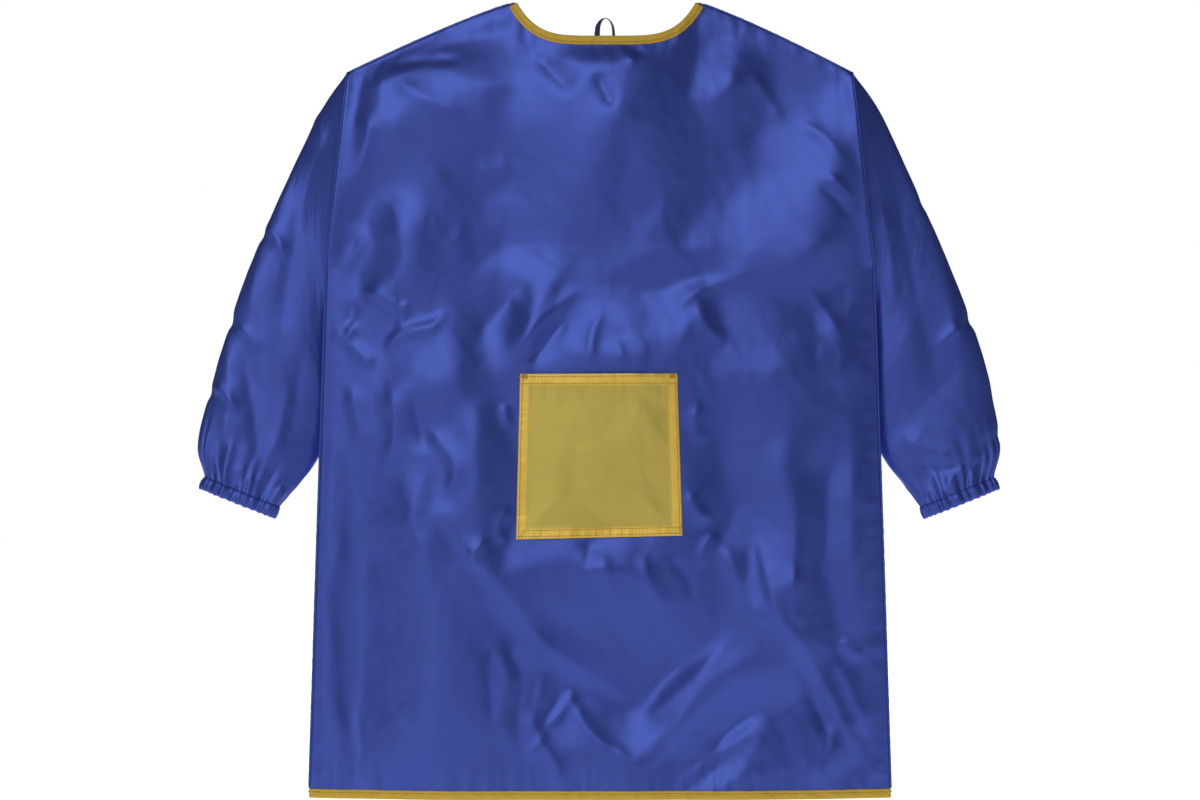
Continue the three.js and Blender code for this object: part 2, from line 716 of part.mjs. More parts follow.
function buildLoop() {
  const baseZ = topEdge(0) + BINDING_CAP + LOOP_BASE_GAP;
  const depth = flapY(0, topEdge(0), false);
  const crown = LOOP_HEIGHT - LOOP_TAPE_THICKNESS / 2;
  const rise = crown - LOOP_HALF_WIDTH;
  const leg = [
    { x: -LOOP_HALF_WIDTH, z: 0, turn: 0 },
    { x: -LOOP_HALF_WIDTH, z: rise * 0.5, turn: 0.3 },
    { x: -LOOP_HALF_WIDTH, z: rise, turn: 0.75 },
    { x: -(LOOP_HALF_WIDTH + LOOP_SEAT_HALF_LENGTH) / 2 - 0.6, z: crown - 1.8, turn: 1 },
    { x: -LOOP_SEAT_HALF_LENGTH, z: crown, turn: 1 },
  ];
  const path = [...leg, ...[...leg].reverse().map(({ x, z, turn }) => ({ x: -x, z, turn: -turn }))];
  const sections = path.map((here, i) => {
    const before = path[Math.max(0, i - 1)];
    const after = path[Math.min(path.length - 1, i + 1)];
    const isSeat = Math.abs(here.z - crown) < 1e-6;
    const isBase = here.z === 0;
    const along = new THREE.Vector3(after.x - before.x, 0, after.z - before.z).normalize();
    if (isSeat) along.set(1, 0, 0);
    if (isBase) along.set(0, 0, Math.sign(along.z));
    return tapeSection(here, along, depth, baseZ);
  });
  sweep("hanging_loop", darkTape(), sections);
}

// A tape section square to its path, turned about the path from flat to edge-on.
function tapeSection({ x, z, turn }, along, depth, baseZ) {
  const inPlane = new THREE.Vector3(-along.z, 0, along.x);
  const through = new THREE.Vector3(0, 1, 0);
  const angle = (Math.abs(turn) * Math.PI) / 2;
  const wide = inPlane.clone().multiplyScalar(Math.cos(angle));
  wide.addScaledVector(through, Math.sin(angle));
  const thick = along.clone().cross(wide);
  const middle = new THREE.Vector3(x, depth, baseZ + z);
  const corner = (w, t) => {
    const point = middle.clone().addScaledVector(wide, (w * LOOP_TAPE_WIDTH) / 2);
    return point.addScaledVector(thick, (t * LOOP_TAPE_THICKNESS) / 2);
  };
  return [corner(-1, -1), corner(1, -1), corner(1, 1), corner(-1, 1)];
}

// ---- The whole smock ----

buildFront();
buildPocket();
for (const [hand, label] of [[-1, "left"], [1, "right"]]) {
  buildBackSide(hand, label);
  buildFlap(hand, label);
  buildSeams(hand, label);
  buildSleeve(hand, label);
  buildCuff(hand, label);
}
buildPatch("hook_patch", BACK, true);
buildPatch("loop_patch", FRONT, false);
buildLoop();

export default smock;
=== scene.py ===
"""A child's painting smock, dressed over its frame: cloth, bindings, pocket, sleeves and loop.

Sizes are in millimetres until a mesh is made. X runs to the right of someone who faces the smock,
Z runs up, and the front of the smock faces -Y.
"""

from __future__ import annotations

import logging
import math
from dataclasses import dataclass, field
from enum import Enum
from typing import Callable, Sequence

import bmesh
import bpy
import numpy as np
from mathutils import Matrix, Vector

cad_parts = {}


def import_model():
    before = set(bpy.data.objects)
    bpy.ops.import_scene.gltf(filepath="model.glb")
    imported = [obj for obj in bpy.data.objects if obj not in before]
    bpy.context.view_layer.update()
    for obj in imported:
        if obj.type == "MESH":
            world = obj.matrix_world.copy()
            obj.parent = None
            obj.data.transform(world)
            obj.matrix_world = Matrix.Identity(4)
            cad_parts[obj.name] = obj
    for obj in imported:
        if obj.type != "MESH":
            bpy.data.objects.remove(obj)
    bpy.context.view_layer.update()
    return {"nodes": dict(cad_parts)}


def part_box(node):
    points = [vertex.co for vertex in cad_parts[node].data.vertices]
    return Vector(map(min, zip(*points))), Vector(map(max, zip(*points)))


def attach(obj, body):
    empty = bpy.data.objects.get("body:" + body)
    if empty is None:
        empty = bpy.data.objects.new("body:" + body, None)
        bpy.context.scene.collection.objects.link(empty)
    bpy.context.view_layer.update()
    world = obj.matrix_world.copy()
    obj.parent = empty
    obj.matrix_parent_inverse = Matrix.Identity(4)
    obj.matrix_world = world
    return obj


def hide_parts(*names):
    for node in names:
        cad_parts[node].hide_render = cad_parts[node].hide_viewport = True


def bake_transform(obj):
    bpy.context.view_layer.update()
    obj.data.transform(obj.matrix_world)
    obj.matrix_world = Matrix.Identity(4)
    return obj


LOG = logging.getLogger("smock")
MM = 0.001
UV_NAME = "cloth"
Array = np.ndarray


# ---------------------------------------------------------------------------------------------
# Small numeric helpers
# ---------------------------------------------------------------------------------------------


def ease(start: float, end: float, value: Array | float) -> Array:
    """Returns 0 at start and 1 at end, with a smooth run between them."""
    share = np.clip((np.asarray(value, float) - start) / (end - start), 0.0, 1.0)
    return share * share * (3.0 - 2.0 * share)


def spline(points: Sequence[Sequence[float]], count: int) -> Array:
    """Lays an even run of points along a smooth curve.

    Args:
        points: The places that the curve passes through.
        count: How many points to return.

    Returns:
        The points, evenly spaced along the curve.
    """
    p = np.asarray(points, float)
    ends = np.vstack([2 * p[0] - p[1], p, 2 * p[-1] - p[-2]])
    share = np.linspace(0.0, 1.0, 24, endpoint=False)[:, None]
    run = []
    for a, b, c, d in zip(ends[:-3], ends[1:-2], ends[2:-1], ends[3:]):
        run.append(
            0.5
            * (
                2 * b
                + (c - a) * share
                + (2 * a - 5 * b + 4 * c - d) * share**2
                + (3 * b - a - 3 * c + d) * share**3
            )
        )
    dense = np.vstack([*run, p[-1:]])
    gone = np.concatenate([[0.0], np.cumsum(np.linalg.norm(np.diff(dense, axis=0), axis=1))])
    at = np.linspace(0.0, gone[-1], count)
    return np.stack([np.interp(at, gone, dense[:, k]) for k in range(p.shape[1])], axis=1)


class Ripple:
    """Smooth random relief between -1 and 1, the same on each run."""

    def __init__(self, seed: int) -> None:
        """Draws the lattice of the relief.

        Args:
            seed: Chooses the relief.
        """
        turn = np.random.RandomState(seed).uniform(0.0, 2 * math.pi, (128, 128))
        self.way_a, self.way_b = np.cos(turn), np.sin(turn)

    def at(self, a: Array, b: Array) -> Array:
        """Returns the relief at places counted in lattice steps."""
        a, b = np.broadcast_arrays(np.asarray(a, float), np.asarray(b, float))
        i, j = np.floor(a).astype(int), np.floor(b).astype(int)
        u, v = a - i, b - j
        total = np.zeros(a.shape)
        for di in (0, 1):
            for dj in (0, 1):
                m, n = (i + di) % 128, (j + dj) % 128
                share_a, share_b = 1.0 - np.abs(u - di), 1.0 - np.abs(v - dj)
                share_a = share_a**3 * (share_a * (share_a * 6 - 15) + 10)
                share_b = share_b**3 * (share_b * (share_b * 6 - 15) + 10)
                slope = self.way_a[m, n] * (u - di) + self.way_b[m, n] * (v - dj)
                total += share_a * share_b * slope
        return 1.7 * total

    def layered(self, a: Array, b: Array, layers: int = 3) -> Array:
        """Returns the relief with finer and finer relief added to it."""
        total = np.zeros(np.broadcast(a, b).shape)
        for k in range(layers):
            total += self.at(a * 2.03**k + 17.3 * k, b * 2.03**k - 9.1 * k) * 0.5**k
        return total

    def crinkle(self, a: Array, b: Array) -> Array:
        """Returns sharp-crested relief, as stiff thin cloth creases."""
        first = 1.0 - 2.0 * np.abs(self.at(a, b))
        second = 1.0 - 2.0 * np.abs(self.at(a * 2.1 + 31.0, b * 2.1 - 11.0))
        return 0.65 * first + 0.35 * second


# ---------------------------------------------------------------------------------------------
# Cut of the smock
# ---------------------------------------------------------------------------------------------


class Side(Enum):
    """The two faces of the smock, by the way they look along Y."""

    FRONT = -1.0
    BACK = 1.0


class Hand(Enum):
    """The two hands of the smock, as someone who faces it sees them."""

    LEFT = -1.0
    RIGHT = 1.0

    @property
    def word(self) -> str:
        """Returns the hand's name as the frame's nodes spell it."""
        return self.name.lower()


@dataclass(frozen=True)
class Cut:
    """The outline that the pieces of cloth are cut to, and how far they stand apart."""

    length: float = 700.0
    hem_half: float = 256.0
    shoulder_half: float = 222.0
    shoulder_drop: float = 62.0
    shoulder_curve: float = 1.15
    armhole_depth: float = 170.0
    underarm_half: float = 241.0
    neck_half: float = 80.0
    neck_drop: float = 31.6
    neck_squareness: float = 4.6
    neck_shift: float = 5.5
    neck_rise: float = 40.0
    front_depth: float = 22.0
    back_depth: float = 16.0
    armhole_opening: float = 10.0
    depth_run: float = 160.0
    side_curve: float = 1.7
    flap_fold: float = 95.0
    flap_overlap: float = 30.0
    lap_step: float = 3.5
    edge_gap: float = 0.45
    open_gap: float = 1.75
    hem_cut: float = -698.9

    @property
    def underarm(self) -> float:
        """Returns the height of the underarm."""
        return -(self.shoulder_drop + self.armhole_depth)

    def half_width(self, z: Array) -> Array:
        """Returns half the width of the body at a height."""
        upper = (-z - self.shoulder_drop) / self.armhole_depth
        lower = (self.underarm - z) / (self.length + self.underarm)
        top = self.shoulder_half + (self.underarm_half - self.shoulder_half) * np.maximum(upper, 0)
        low = self.underarm_half + (self.hem_half - self.underarm_half) * lower
        return np.where(z > self.underarm, top, low)

    def top_edge(self, x: Array) -> Array:
        """Returns the height of the shoulder seam or the neckline at a place across."""
        moved = x - self.neck_shift
        neck = -self.neck_drop * (
            1 - np.minimum(np.abs(moved) / self.neck_half, 1.0) ** self.neck_squareness
        )
        run = self.shoulder_half - self.neck_half - np.sign(moved) * self.neck_shift
        share = np.clip((np.abs(moved) - self.neck_half) / run, 0.0, 1.2)
        return np.where(
            np.abs(moved) < self.neck_half, neck, -self.shoulder_drop * share**self.shoulder_curve
        )

    def armhole_share(self, z: Array) -> Array:
        """Returns how far the armhole stands open at a height, from 0 to 1."""
        s = np.clip((-z - self.shoulder_drop) / self.armhole_depth, 0.0, 1.0)
        return 2.0 * np.sqrt(s * (1.0 - s))

    def stand_off(self, side: Side, x: Array, z: Array) -> Array:
        """Returns Y of the smooth cloth before it creases."""
        moved = x - self.neck_shift
        inside = np.abs(moved) < self.neck_half
        meeting = np.where(
            inside, self.neck_rise * (1 - (moved / self.neck_half) ** 2), self.top_edge(x)
        )
        half = self.half_width(z)
        across = np.clip((np.abs(x) - self.flap_fold) / (half - self.flap_fold), 0.0, 1.0)
        depth = self.front_depth if side is Side.FRONT else self.back_depth
        fall = np.sin(0.5 * math.pi * np.clip((meeting - z) / self.depth_run, 0.0, 1.0))
        at_side = ease(14.0, 0.0, half - np.abs(x))
        at_shoulder = ease(12.0, 0.0, self.top_edge(x) - z) * ease(
            self.neck_half, self.neck_half + 9.0, np.abs(moved)
        )
        closed = np.maximum(at_side, at_shoulder)
        gap = self.open_gap + (self.edge_gap - self.open_gap) * closed
        stand = gap + depth * fall * (1 - across**self.side_curve)
        s = np.clip((-z - self.shoulder_drop) / self.armhole_depth, 0.0, 1.0)
        inner = 0.9 * np.sin(math.pi * s) ** 1.6
        share = inner + (self.armhole_share(z) - inner) * at_side
        return side.value * (stand + self.armhole_opening * across**2 * share)


# ---------------------------------------------------------------------------------------------
# Relief: how the cloth creases
# ---------------------------------------------------------------------------------------------


@dataclass(frozen=True)
class Fold:
    """One crease, by the line it runs along, its half width and its height towards the viewer."""

    line: tuple[tuple[float, float], ...]
    width: float
    height: float
    soft: float = 1.0

    def height_at(self, x: Array, z: Array) -> Array:
        """Returns the crease's height at places on the panel.

        Args:
            x: Places across.
            z: Heights.

        Returns:
            The height that the crease adds there.
        """
        run = spline(self.line, max(4, 3 * len(self.line)))
        lengths = np.concatenate([[0], np.cumsum(np.linalg.norm(np.diff(run, axis=0), axis=1))])
        best = np.full(x.shape, 1e9)
        along, sign = np.zeros(x.shape), np.ones(x.shape)
        for k in range(len(run) - 1):
            a, d = run[k], run[k + 1] - run[k]
            span = float(d @ d)
            t = np.clip(((x - a[0]) * d[0] + (z - a[1]) * d[1]) / span, 0.0, 1.0)
            dx, dz = x - a[0] - t * d[0], z - a[1] - t * d[1]
            away = dx * dx + dz * dz
            near = away < best
            best = np.where(near, away, best)
            along = np.where(near, lengths[k] + t * math.sqrt(span), along)
            sign = np.where(near, np.sign(d[0] * dz - d[1] * dx), sign)
        share = along / lengths[-1]
        ends = ease(0.0, 0.3, share) * ease(1.0, 0.7, share)
        far = 1.25 if self.soft > 1.0 else 1.1
        reach = self.width * np.where(sign > 0, far * self.soft, 1.1) * (0.7 + 0.3 * ends)
        away = np.sqrt(best) / reach
        return self.height * ends * np.exp(-(away**1.5))


@dataclass(frozen=True)
class Lean:
    """A patch of cloth that leans to the light, or from it where its amount is negative."""

    x: float
    z: float
    wide: float
    tall: float
    amount: float
    turn: float = 0.0

    def mask(self, x: Array, z: Array) -> Array:
        """Returns the patch's share at places on the panel, flat inside and soft at its rim."""
        a = math.radians(self.turn)
        dx, dz = x - self.x, z - self.z
        u = (dx * math.cos(a) + dz * math.sin(a)) / self.wide
        v = (dz * math.cos(a) - dx * math.sin(a)) / self.tall
        return self.amount / (1.0 + (u * u + v * v) ** 3.5)

    def way(self) -> tuple[float, float]:
        """Returns the way that the lit patch faces: up and left, and across its long side."""
        a = math.radians(self.turn) + (0.0 if self.wide > self.tall else math.pi / 2)
        across = np.array([-math.sin(a), math.cos(a)])
        across *= np.sign(across @ np.array([-0.5, 0.86]))
        slim = 1.0 - min(self.wide, self.tall) / max(self.wide, self.tall)
        way = slim * across + (1.0 - slim) * np.array([-0.35, 0.94])
        way /= np.linalg.norm(way)
        return float(way[0]), float(way[1])


class LeanField:
    """The relief whose slopes follow a list of leaning patches."""

    STEP = 3.0
    WIDE = 288.0
    TALL = 728.0

    def __init__(self, patches: Sequence[Lean], steep: float, warp_seed: int) -> None:
        """Adds up the patches' slopes and finds the relief that has them.

        Args:
            patches: The patches.
            steep: The slope of a patch of amount 1.
            warp_seed: Chooses how the rims of the patches wander.
        """
        xs = np.arange(-self.WIDE, self.WIDE, self.STEP)
        zs = np.arange(-self.TALL, 24.0, self.STEP)
        x, z = np.meshgrid(xs, zs)
        warp = Ripple(warp_seed)
        wx = x + 13.0 * warp.layered(x / 60.0, z / 80.0, 2)
        wz = z + 13.0 * warp.layered(x / 60.0 + 40.0, z / 80.0 + 40.0, 2)
        gx, gz = np.zeros(x.shape), np.zeros(x.shape)
        for patch in patches:
            share, (way_x, way_z) = patch.mask(wx, wz), patch.way()
            gx, gz = gx - share * way_x, gz - share * way_z
        size = np.hypot(gx, gz) + 1e-6
        limit = np.tanh(1.3 * size) * steep / size
        gx, gz = gx * limit, gz * limit
        rows, cols = x.shape
        field_x = np.concatenate([gx, gx[:, ::-1] * -1], axis=1)
        field_x = np.concatenate([field_x, field_x[::-1]], axis=0)
        field_z = np.concatenate([gz, gz[:, ::-1]], axis=1)
        field_z = np.concatenate([field_z, field_z[::-1] * -1], axis=0)
        kx = np.fft.fftfreq(2 * cols, self.STEP)[None, :] * 2j * math.pi
        kz = np.fft.fftfreq(2 * rows, self.STEP)[:, None] * 2j * math.pi
        square = kx * kx + kz * kz
        square[0, 0] = -1.0
        # leaves out the slowest swells, which would move whole halves of the panel
        keep = 1.0 - np.exp(square.real * 110.0**2)
        bottom = (kx * np.fft.fft2(field_x) + kz * np.fft.fft2(field_z)) / square * keep
        self.relief = np.real(np.fft.ifft2(bottom))[:rows, :cols]
        self.low_x, self.low_z = float(xs[0]), float(zs[0])

    def height_at(self, x: Array, z: Array) -> Array:
        """Returns the relief at places on the panel."""
        rows, cols = self.relief.shape
        a = np.clip((x - self.low_x) / self.STEP, 1, cols - 3.001)
        b = np.clip((z - self.low_z) / self.STEP, 1, rows - 3.001)
        i, j = np.floor(a).astype(int), np.floor(b).astype(int)
        total = np.zeros(np.shape(a))
        for m, wa in enumerate(self._weights(a - i)):
            for n, wb in enumerate(self._weights(b - j)):
                total += wa * wb * self.relief[j + n - 1, i + m - 1]
        return total

    @staticmethod
    def _weights(t: Array) -> tuple[Array, Array, Array, Array]:
        """Returns the four weights of a cubic B-spline."""
        return (
            (1 - t) ** 3 / 6,
            (3 * t**3 - 6 * t**2 + 4) / 6,
            (-3 * t**3 + 3 * t**2 + 3 * t + 1) / 6,
            t**3 / 6,
        )


@dataclass
class Panel:
    """One face of the smock as a surface Y(x, z), creases and all."""

    side: Side
    cut: Cut
    folds: tuple[Fold, ...]
    leans: LeanField
    seed: int
    fold_scale: float = 1.5
    facet_scale: float = 1.0

    def relief(self, x: Array, z: Array) -> Array:
        """Returns how far the creases lift the cloth outwards."""
        cut = self.cut
        half = cut.half_width(z)
        to_side, to_top = half - np.abs(x), cut.top_edge(x) - z
        to_hem = z - cut.hem_cut
        lift = self.leans.height_at(x, z)
        for one in self.folds:
            lift = lift + self.fold_scale * one.height_at(x, z)
        fine = Ripple(self.seed)
        leaning_x, leaning_z = 0.87 * x + 0.5 * z, 0.87 * z - 0.5 * x
        lift = lift + 0.8 * fine.layered(leaning_x / 52.0, leaning_z / 80.0, 2)
        calm = 0.55 + 0.6 * fine.at(x / 120.0 + 5.0, z / 120.0)
        lift = lift + 0.8 * calm * fine.crinkle(leaning_x / 36.0 + 50, leaning_z / 60.0 + 20)
        lift = lift + 0.3 * calm * fine.crinkle(x / 17.0 + 90, z / 27.0 + 60)
        lift = lift + self.facet_scale * self._facets(x, z)
        held = ease(0.0, 34.0, to_side) * ease(0.0, 26.0, to_top)
        lift = lift * held
        return lift + self._puckers(x, z, to_side, to_top, to_hem)

    def _facets(self, x: Array, z: Array) -> Array:
        """Returns broad planes that meet in sharp creases, as stiff thin cloth hangs."""
        fine = Ripple(self.seed + 2)
        wx, wz = x + 9.0 * fine.at(x / 40.0, z / 40.0), z + 9.0 * fine.at(x / 40.0 + 30, z / 40.0)
        slant_x, slant_z = 0.77 * wx + 0.64 * wz, 0.77 * wz - 0.64 * wx
        one = fine.at(slant_x / 62.0 + 20, slant_z / 105.0 + 20)
        two = fine.at(wx / 58.0 + 50, wz / 110.0 + 50)
        three = fine.at((0.77 * wx - 0.64 * wz) / 70.0 + 80, (0.77 * wz + 0.64 * wx) / 100.0 + 80)
        ridge = np.minimum(np.maximum(one, two), np.maximum(three, -0.4 * one))
        return 1.2 * ridge

    def _puckers(
        self, x: Array, z: Array, to_side: Array, to_top: Array, to_hem: Array
    ) -> Array:
        """Returns the short creases that a seam or a binding draws into the cloth."""
        fine = Ripple(self.seed + 1)
        hem = 1.1 * fine.layered(x / 9.0, z / 60.0, 2) * ease(42.0, 3.0, to_hem) * ease(
            0.0, 7.0, to_hem
        )
        neck = 0.7 * fine.layered(x / 8.0 + 9, z / 40.0, 2) * ease(30.0, 4.0, to_top)
        neck = neck * ease(0.0, 6.0, to_top)
        seam = 0.45 * fine.layered(x / 40.0, z / 14.0 + 70, 2) * ease(22.0, 4.0, to_side)
        seam = seam * ease(0.0, 6.0, to_side)
        return hem + neck + seam

    def y(self, x: Array, z: Array) -> Array:
        """Returns Y of the cloth at places on the panel."""
        x, z = np.broadcast_arrays(np.asarray(x, float), np.asarray(z, float))
        stand = np.abs(self.cut.stand_off(self.side, x, z))
        total, low = stand + self.relief(x, z), np.minimum(stand, self.cut.edge_gap)
        soft = 0.5 * (stand - low)
        return self.side.value * 0.5 * (total + low + np.sqrt((total - low) ** 2 + soft**2))


# ---------------------------------------------------------------------------------------------
# Meshes
# ---------------------------------------------------------------------------------------------


def skin(
    name: str,
    points: Array,
    flat: Array | None = None,
    ring: bool = False,
    outward: Callable[[Array], Array] | None = None,
) -> bpy.types.Object:
    """Makes a mesh of squares from rows of points.

    Args:
        name: The piece's name.
        points: Rows by columns by three, in millimetres.
        flat: The same places on the flat cloth, rows by columns by two, in millimetres.
        ring: Whether the last column joins the first.
        outward: Gives the way out from a point, where the faces may need turning.

    Returns:
        The object, at the origin.
    """
    rows, cols = points.shape[:2]
    r, c = np.meshgrid(np.arange(rows - 1), np.arange(cols if ring else cols - 1), indexing="ij")
    nxt = (c + 1) % cols
    quads = np.stack(
        [r * cols + c, r * cols + nxt, (r + 1) * cols + nxt, (r + 1) * cols + c], axis=-1
    ).reshape(-1, 4)
    if outward is not None:
        flatten = points.reshape(-1, 3)
        a, b, d = (flatten[quads[:, k]] for k in (0, 1, 3))
        normal = np.cross(b - a, d - a)
        if float(np.sum(normal * outward((a + flatten[quads[:, 2]]) / 2))) < 0:
            quads = quads[:, ::-1]
    mesh = bpy.data.meshes.new(name)
    mesh.vertices.add(rows * cols)
    mesh.vertices.foreach_set("co", (points.reshape(-1) * MM).astype(np.float32))
    mesh.loops.add(quads.size)
    mesh.loops.foreach_set("vertex_index", quads.reshape(-1).astype(np.int32))
    mesh.polygons.add(len(quads))
    mesh.polygons.foreach_set("loop_start", (np.arange(len(quads)) * 4).astype(np.int32))
    mesh.update(calc_edges=True)
    mesh.polygons.foreach_set("use_smooth", np.ones(len(quads), bool))
    if flat is not None:
        layer = mesh.uv_layers.new(name=UV_NAME)
        uv = flat.reshape(-1, 2)[quads.reshape(-1)] * MM
        layer.data.foreach_set("uv", uv.reshape(-1).astype(np.float32))
    mesh.validate()
    piece = bpy.data.objects.new(name, mesh)
    bpy.context.scene.collection.objects.link(piece)
    return piece


def settled(piece: bpy.types.Object) -> bpy.types.Object:
    """Turns a piece and its modifiers into one plain mesh.

    Args:
        piece: The piece, with its modifiers.

    Returns:
        The same object, with no modifiers.
    """
    graph = bpy.context.evaluated_depsgraph_get()
    graph.update()
    made = bpy.data.meshes.new_from_object(piece.evaluated_get(graph))
    old = piece.data
    piece.modifiers.clear()
    piece.data = made
    made.name = piece.name
    if old.users == 0:
        bpy.data.meshes.remove(old)
    return piece


def thicken(piece: bpy.types.Object, thickness: float) -> bpy.types.Object:
    """Gives a skin of cloth its thickness, half to each side."""
    solid = piece.modifiers.new("cloth", "SOLIDIFY")
    solid.thickness = thickness * MM
    solid.offset = 0.0
    return settled(piece)


def point_value(piece: bpy.types.Object, name: str, values: Array) -> None:
    """Stores one number per point on a mesh, for its material to read."""
    attribute = piece.data.attributes.new(name, "FLOAT", "POINT")
    attribute.data.foreach_set("value", values.reshape(-1).astype(np.float32))


def dress(piece: bpy.types.Object, material: bpy.types.Material) -> None:
    """Gives a piece its material and logs how many faces it has."""
    piece.data.materials.clear()
    piece.data.materials.append(material)
    LOG.info("%s: %d faces", piece.name, len(piece.data.polygons))


def fix_on(
    piece: bpy.types.Object, material: bpy.types.Material, slot: str, body: str, *nodes: str
) -> None:
    """Dresses a piece that rides on one body and takes the place of the nodes it names."""
    dress(piece, material)
    if nodes:
        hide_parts(*nodes)
    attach(piece, body)


def tube(points: Array, radius: float, sides: int = 8) -> Array:
    """Lays a round cord along a line.

    Args:
        points: The line.
        radius: The cord's radius.
        sides: How many columns go round it.

    Returns:
        Rows of points, one row for each point of the line.
    """
    along = np.gradient(points, axis=0)
    along /= np.linalg.norm(along, axis=1, keepdims=True)
    out = np.cross(along, np.array([0.0, 1.0, 0.0]))
    out /= np.maximum(np.linalg.norm(out, axis=1, keepdims=True), 1e-6)
    up = np.cross(out, along)
    turn = np.linspace(0, 2 * math.pi, sides, endpoint=False)
    ring = np.cos(turn)[None, :, None] * out[:, None] + np.sin(turn)[None, :, None] * up[:, None]
    return points[:, None] + radius * ring


def close_ends(piece: bpy.types.Object) -> None:
    """Closes the open ends of a swept piece with a face each."""
    body = bmesh.new()
    body.from_mesh(piece.data)
    rim = [e for e in body.edges if e.is_boundary]
    bmesh.ops.holes_fill(body, edges=rim, sides=0)
    bmesh.ops.recalc_face_normals(body, faces=body.faces)
    body.to_mesh(piece.data)
    body.free()


# ---------------------------------------------------------------------------------------------
# Materials
# ---------------------------------------------------------------------------------------------


class Value:
    """A shader socket that takes part in arithmetic."""

    def __init__(self, tree: bpy.types.NodeTree, socket: bpy.types.NodeSocket) -> None:
        """Wraps a socket.

        Args:
            tree: The tree that the socket is in.
            socket: The output that carries the value.
        """
        self.tree, self.socket = tree, socket

    def _math(self, operation: str, a: "Value | float", b: "Value | float") -> "Value":
        """Returns the result of one Math node."""
        node = self.tree.nodes.new("ShaderNodeMath")
        node.operation = operation
        for index, value in enumerate((a, b)):
            if isinstance(value, Value):
                self.tree.links.new(value.socket, node.inputs[index])
            else:
                node.inputs[index].default_value = value
        return Value(self.tree, node.outputs[0])

    def __add__(self, other: "Value | float") -> "Value":
        """Returns self + other."""
        return self._math("ADD", self, other)

    __radd__ = __add__

    def __mul__(self, other: "Value | float") -> "Value":
        """Returns self * other."""
        return self._math("MULTIPLY", self, other)

    __rmul__ = __mul__

    def __sub__(self, other: "Value | float") -> "Value":
        """Returns self - other."""
        return self._math("SUBTRACT", self, other)

    def __rsub__(self, other: float) -> "Value":
        """Returns other - self."""
        return self._math("SUBTRACT", other, self)

    def sine(self) -> "Value":
        """Returns the sine of the value."""
        return self._math("SINE", self, 0.0)


class Dye:
    """Builds the node tree of one material."""

    def __init__(self, name: str) -> None:
        """Starts an empty material.

        Args:
            name: The material's name.
        """
        self.material = bpy.data.materials.new(name)
        self.material.use_nodes = True
        self.tree = self.material.node_tree
        self.tree.nodes.clear()

    def node(self, kind: str, settings: dict | None = None, inputs: dict | None = None):
        """Adds one node.

        Args:
            kind: The node's type.
            settings: Its own settings, with a ramp's stops as pairs of place and colour.
            inputs: Values or links for its sockets, by name or number.

        Returns:
            The node.
        """
        made = self.tree.nodes.new(kind)
        for key, value in (settings or {}).items():
            if key == "stops":
                ramp = made.color_ramp.elements
                for spot, (place, colour) in zip(ramp, value):
                    spot.position, spot.color = place, colour
            else:
                setattr(made, key, value)
        for key, value in (inputs or {}).items():
            if isinstance(value, Value):
                self.tree.links.new(value.socket, made.inputs[key])
            else:
                made.inputs[key].default_value = value
        return made

    def value(self, kind: str, output: str | int, **more) -> Value:
        """Adds a node and returns one of its outputs as a value."""
        return Value(self.tree, self.node(kind, **more).outputs[output])

    def finish(self, colour: Value, roughness: Value, bump: Value, depth: float, **fixed) -> None:
        """Adds the surface.

        Args:
            colour: The base colour.
            roughness: The roughness.
            bump: The height of the fine relief, about 0 to 1.
            depth: How high a relief of 1 stands, in metres.
            fixed: Other sockets of the surface, by their names with underscores.
        """
        normal = self.value(
            "ShaderNodeBump", 0, inputs={"Strength": 1.0, "Distance": depth, "Height": bump}
        )
        inputs = {key.replace("_", " "): value for key, value in fixed.items()}
        inputs.update({"Base Color": colour, "Roughness": roughness, "Normal": normal})
        surface = self.value("ShaderNodeBsdfPrincipled", 0, inputs=inputs)
        self.node("ShaderNodeOutputMaterial", inputs={"Surface": surface})


class Weave(Enum):
    """How the threads of a cloth cross."""

    PLAIN = "plain"
    TWILL = "twill"
    RIB = "rib"
    PILE = "pile"


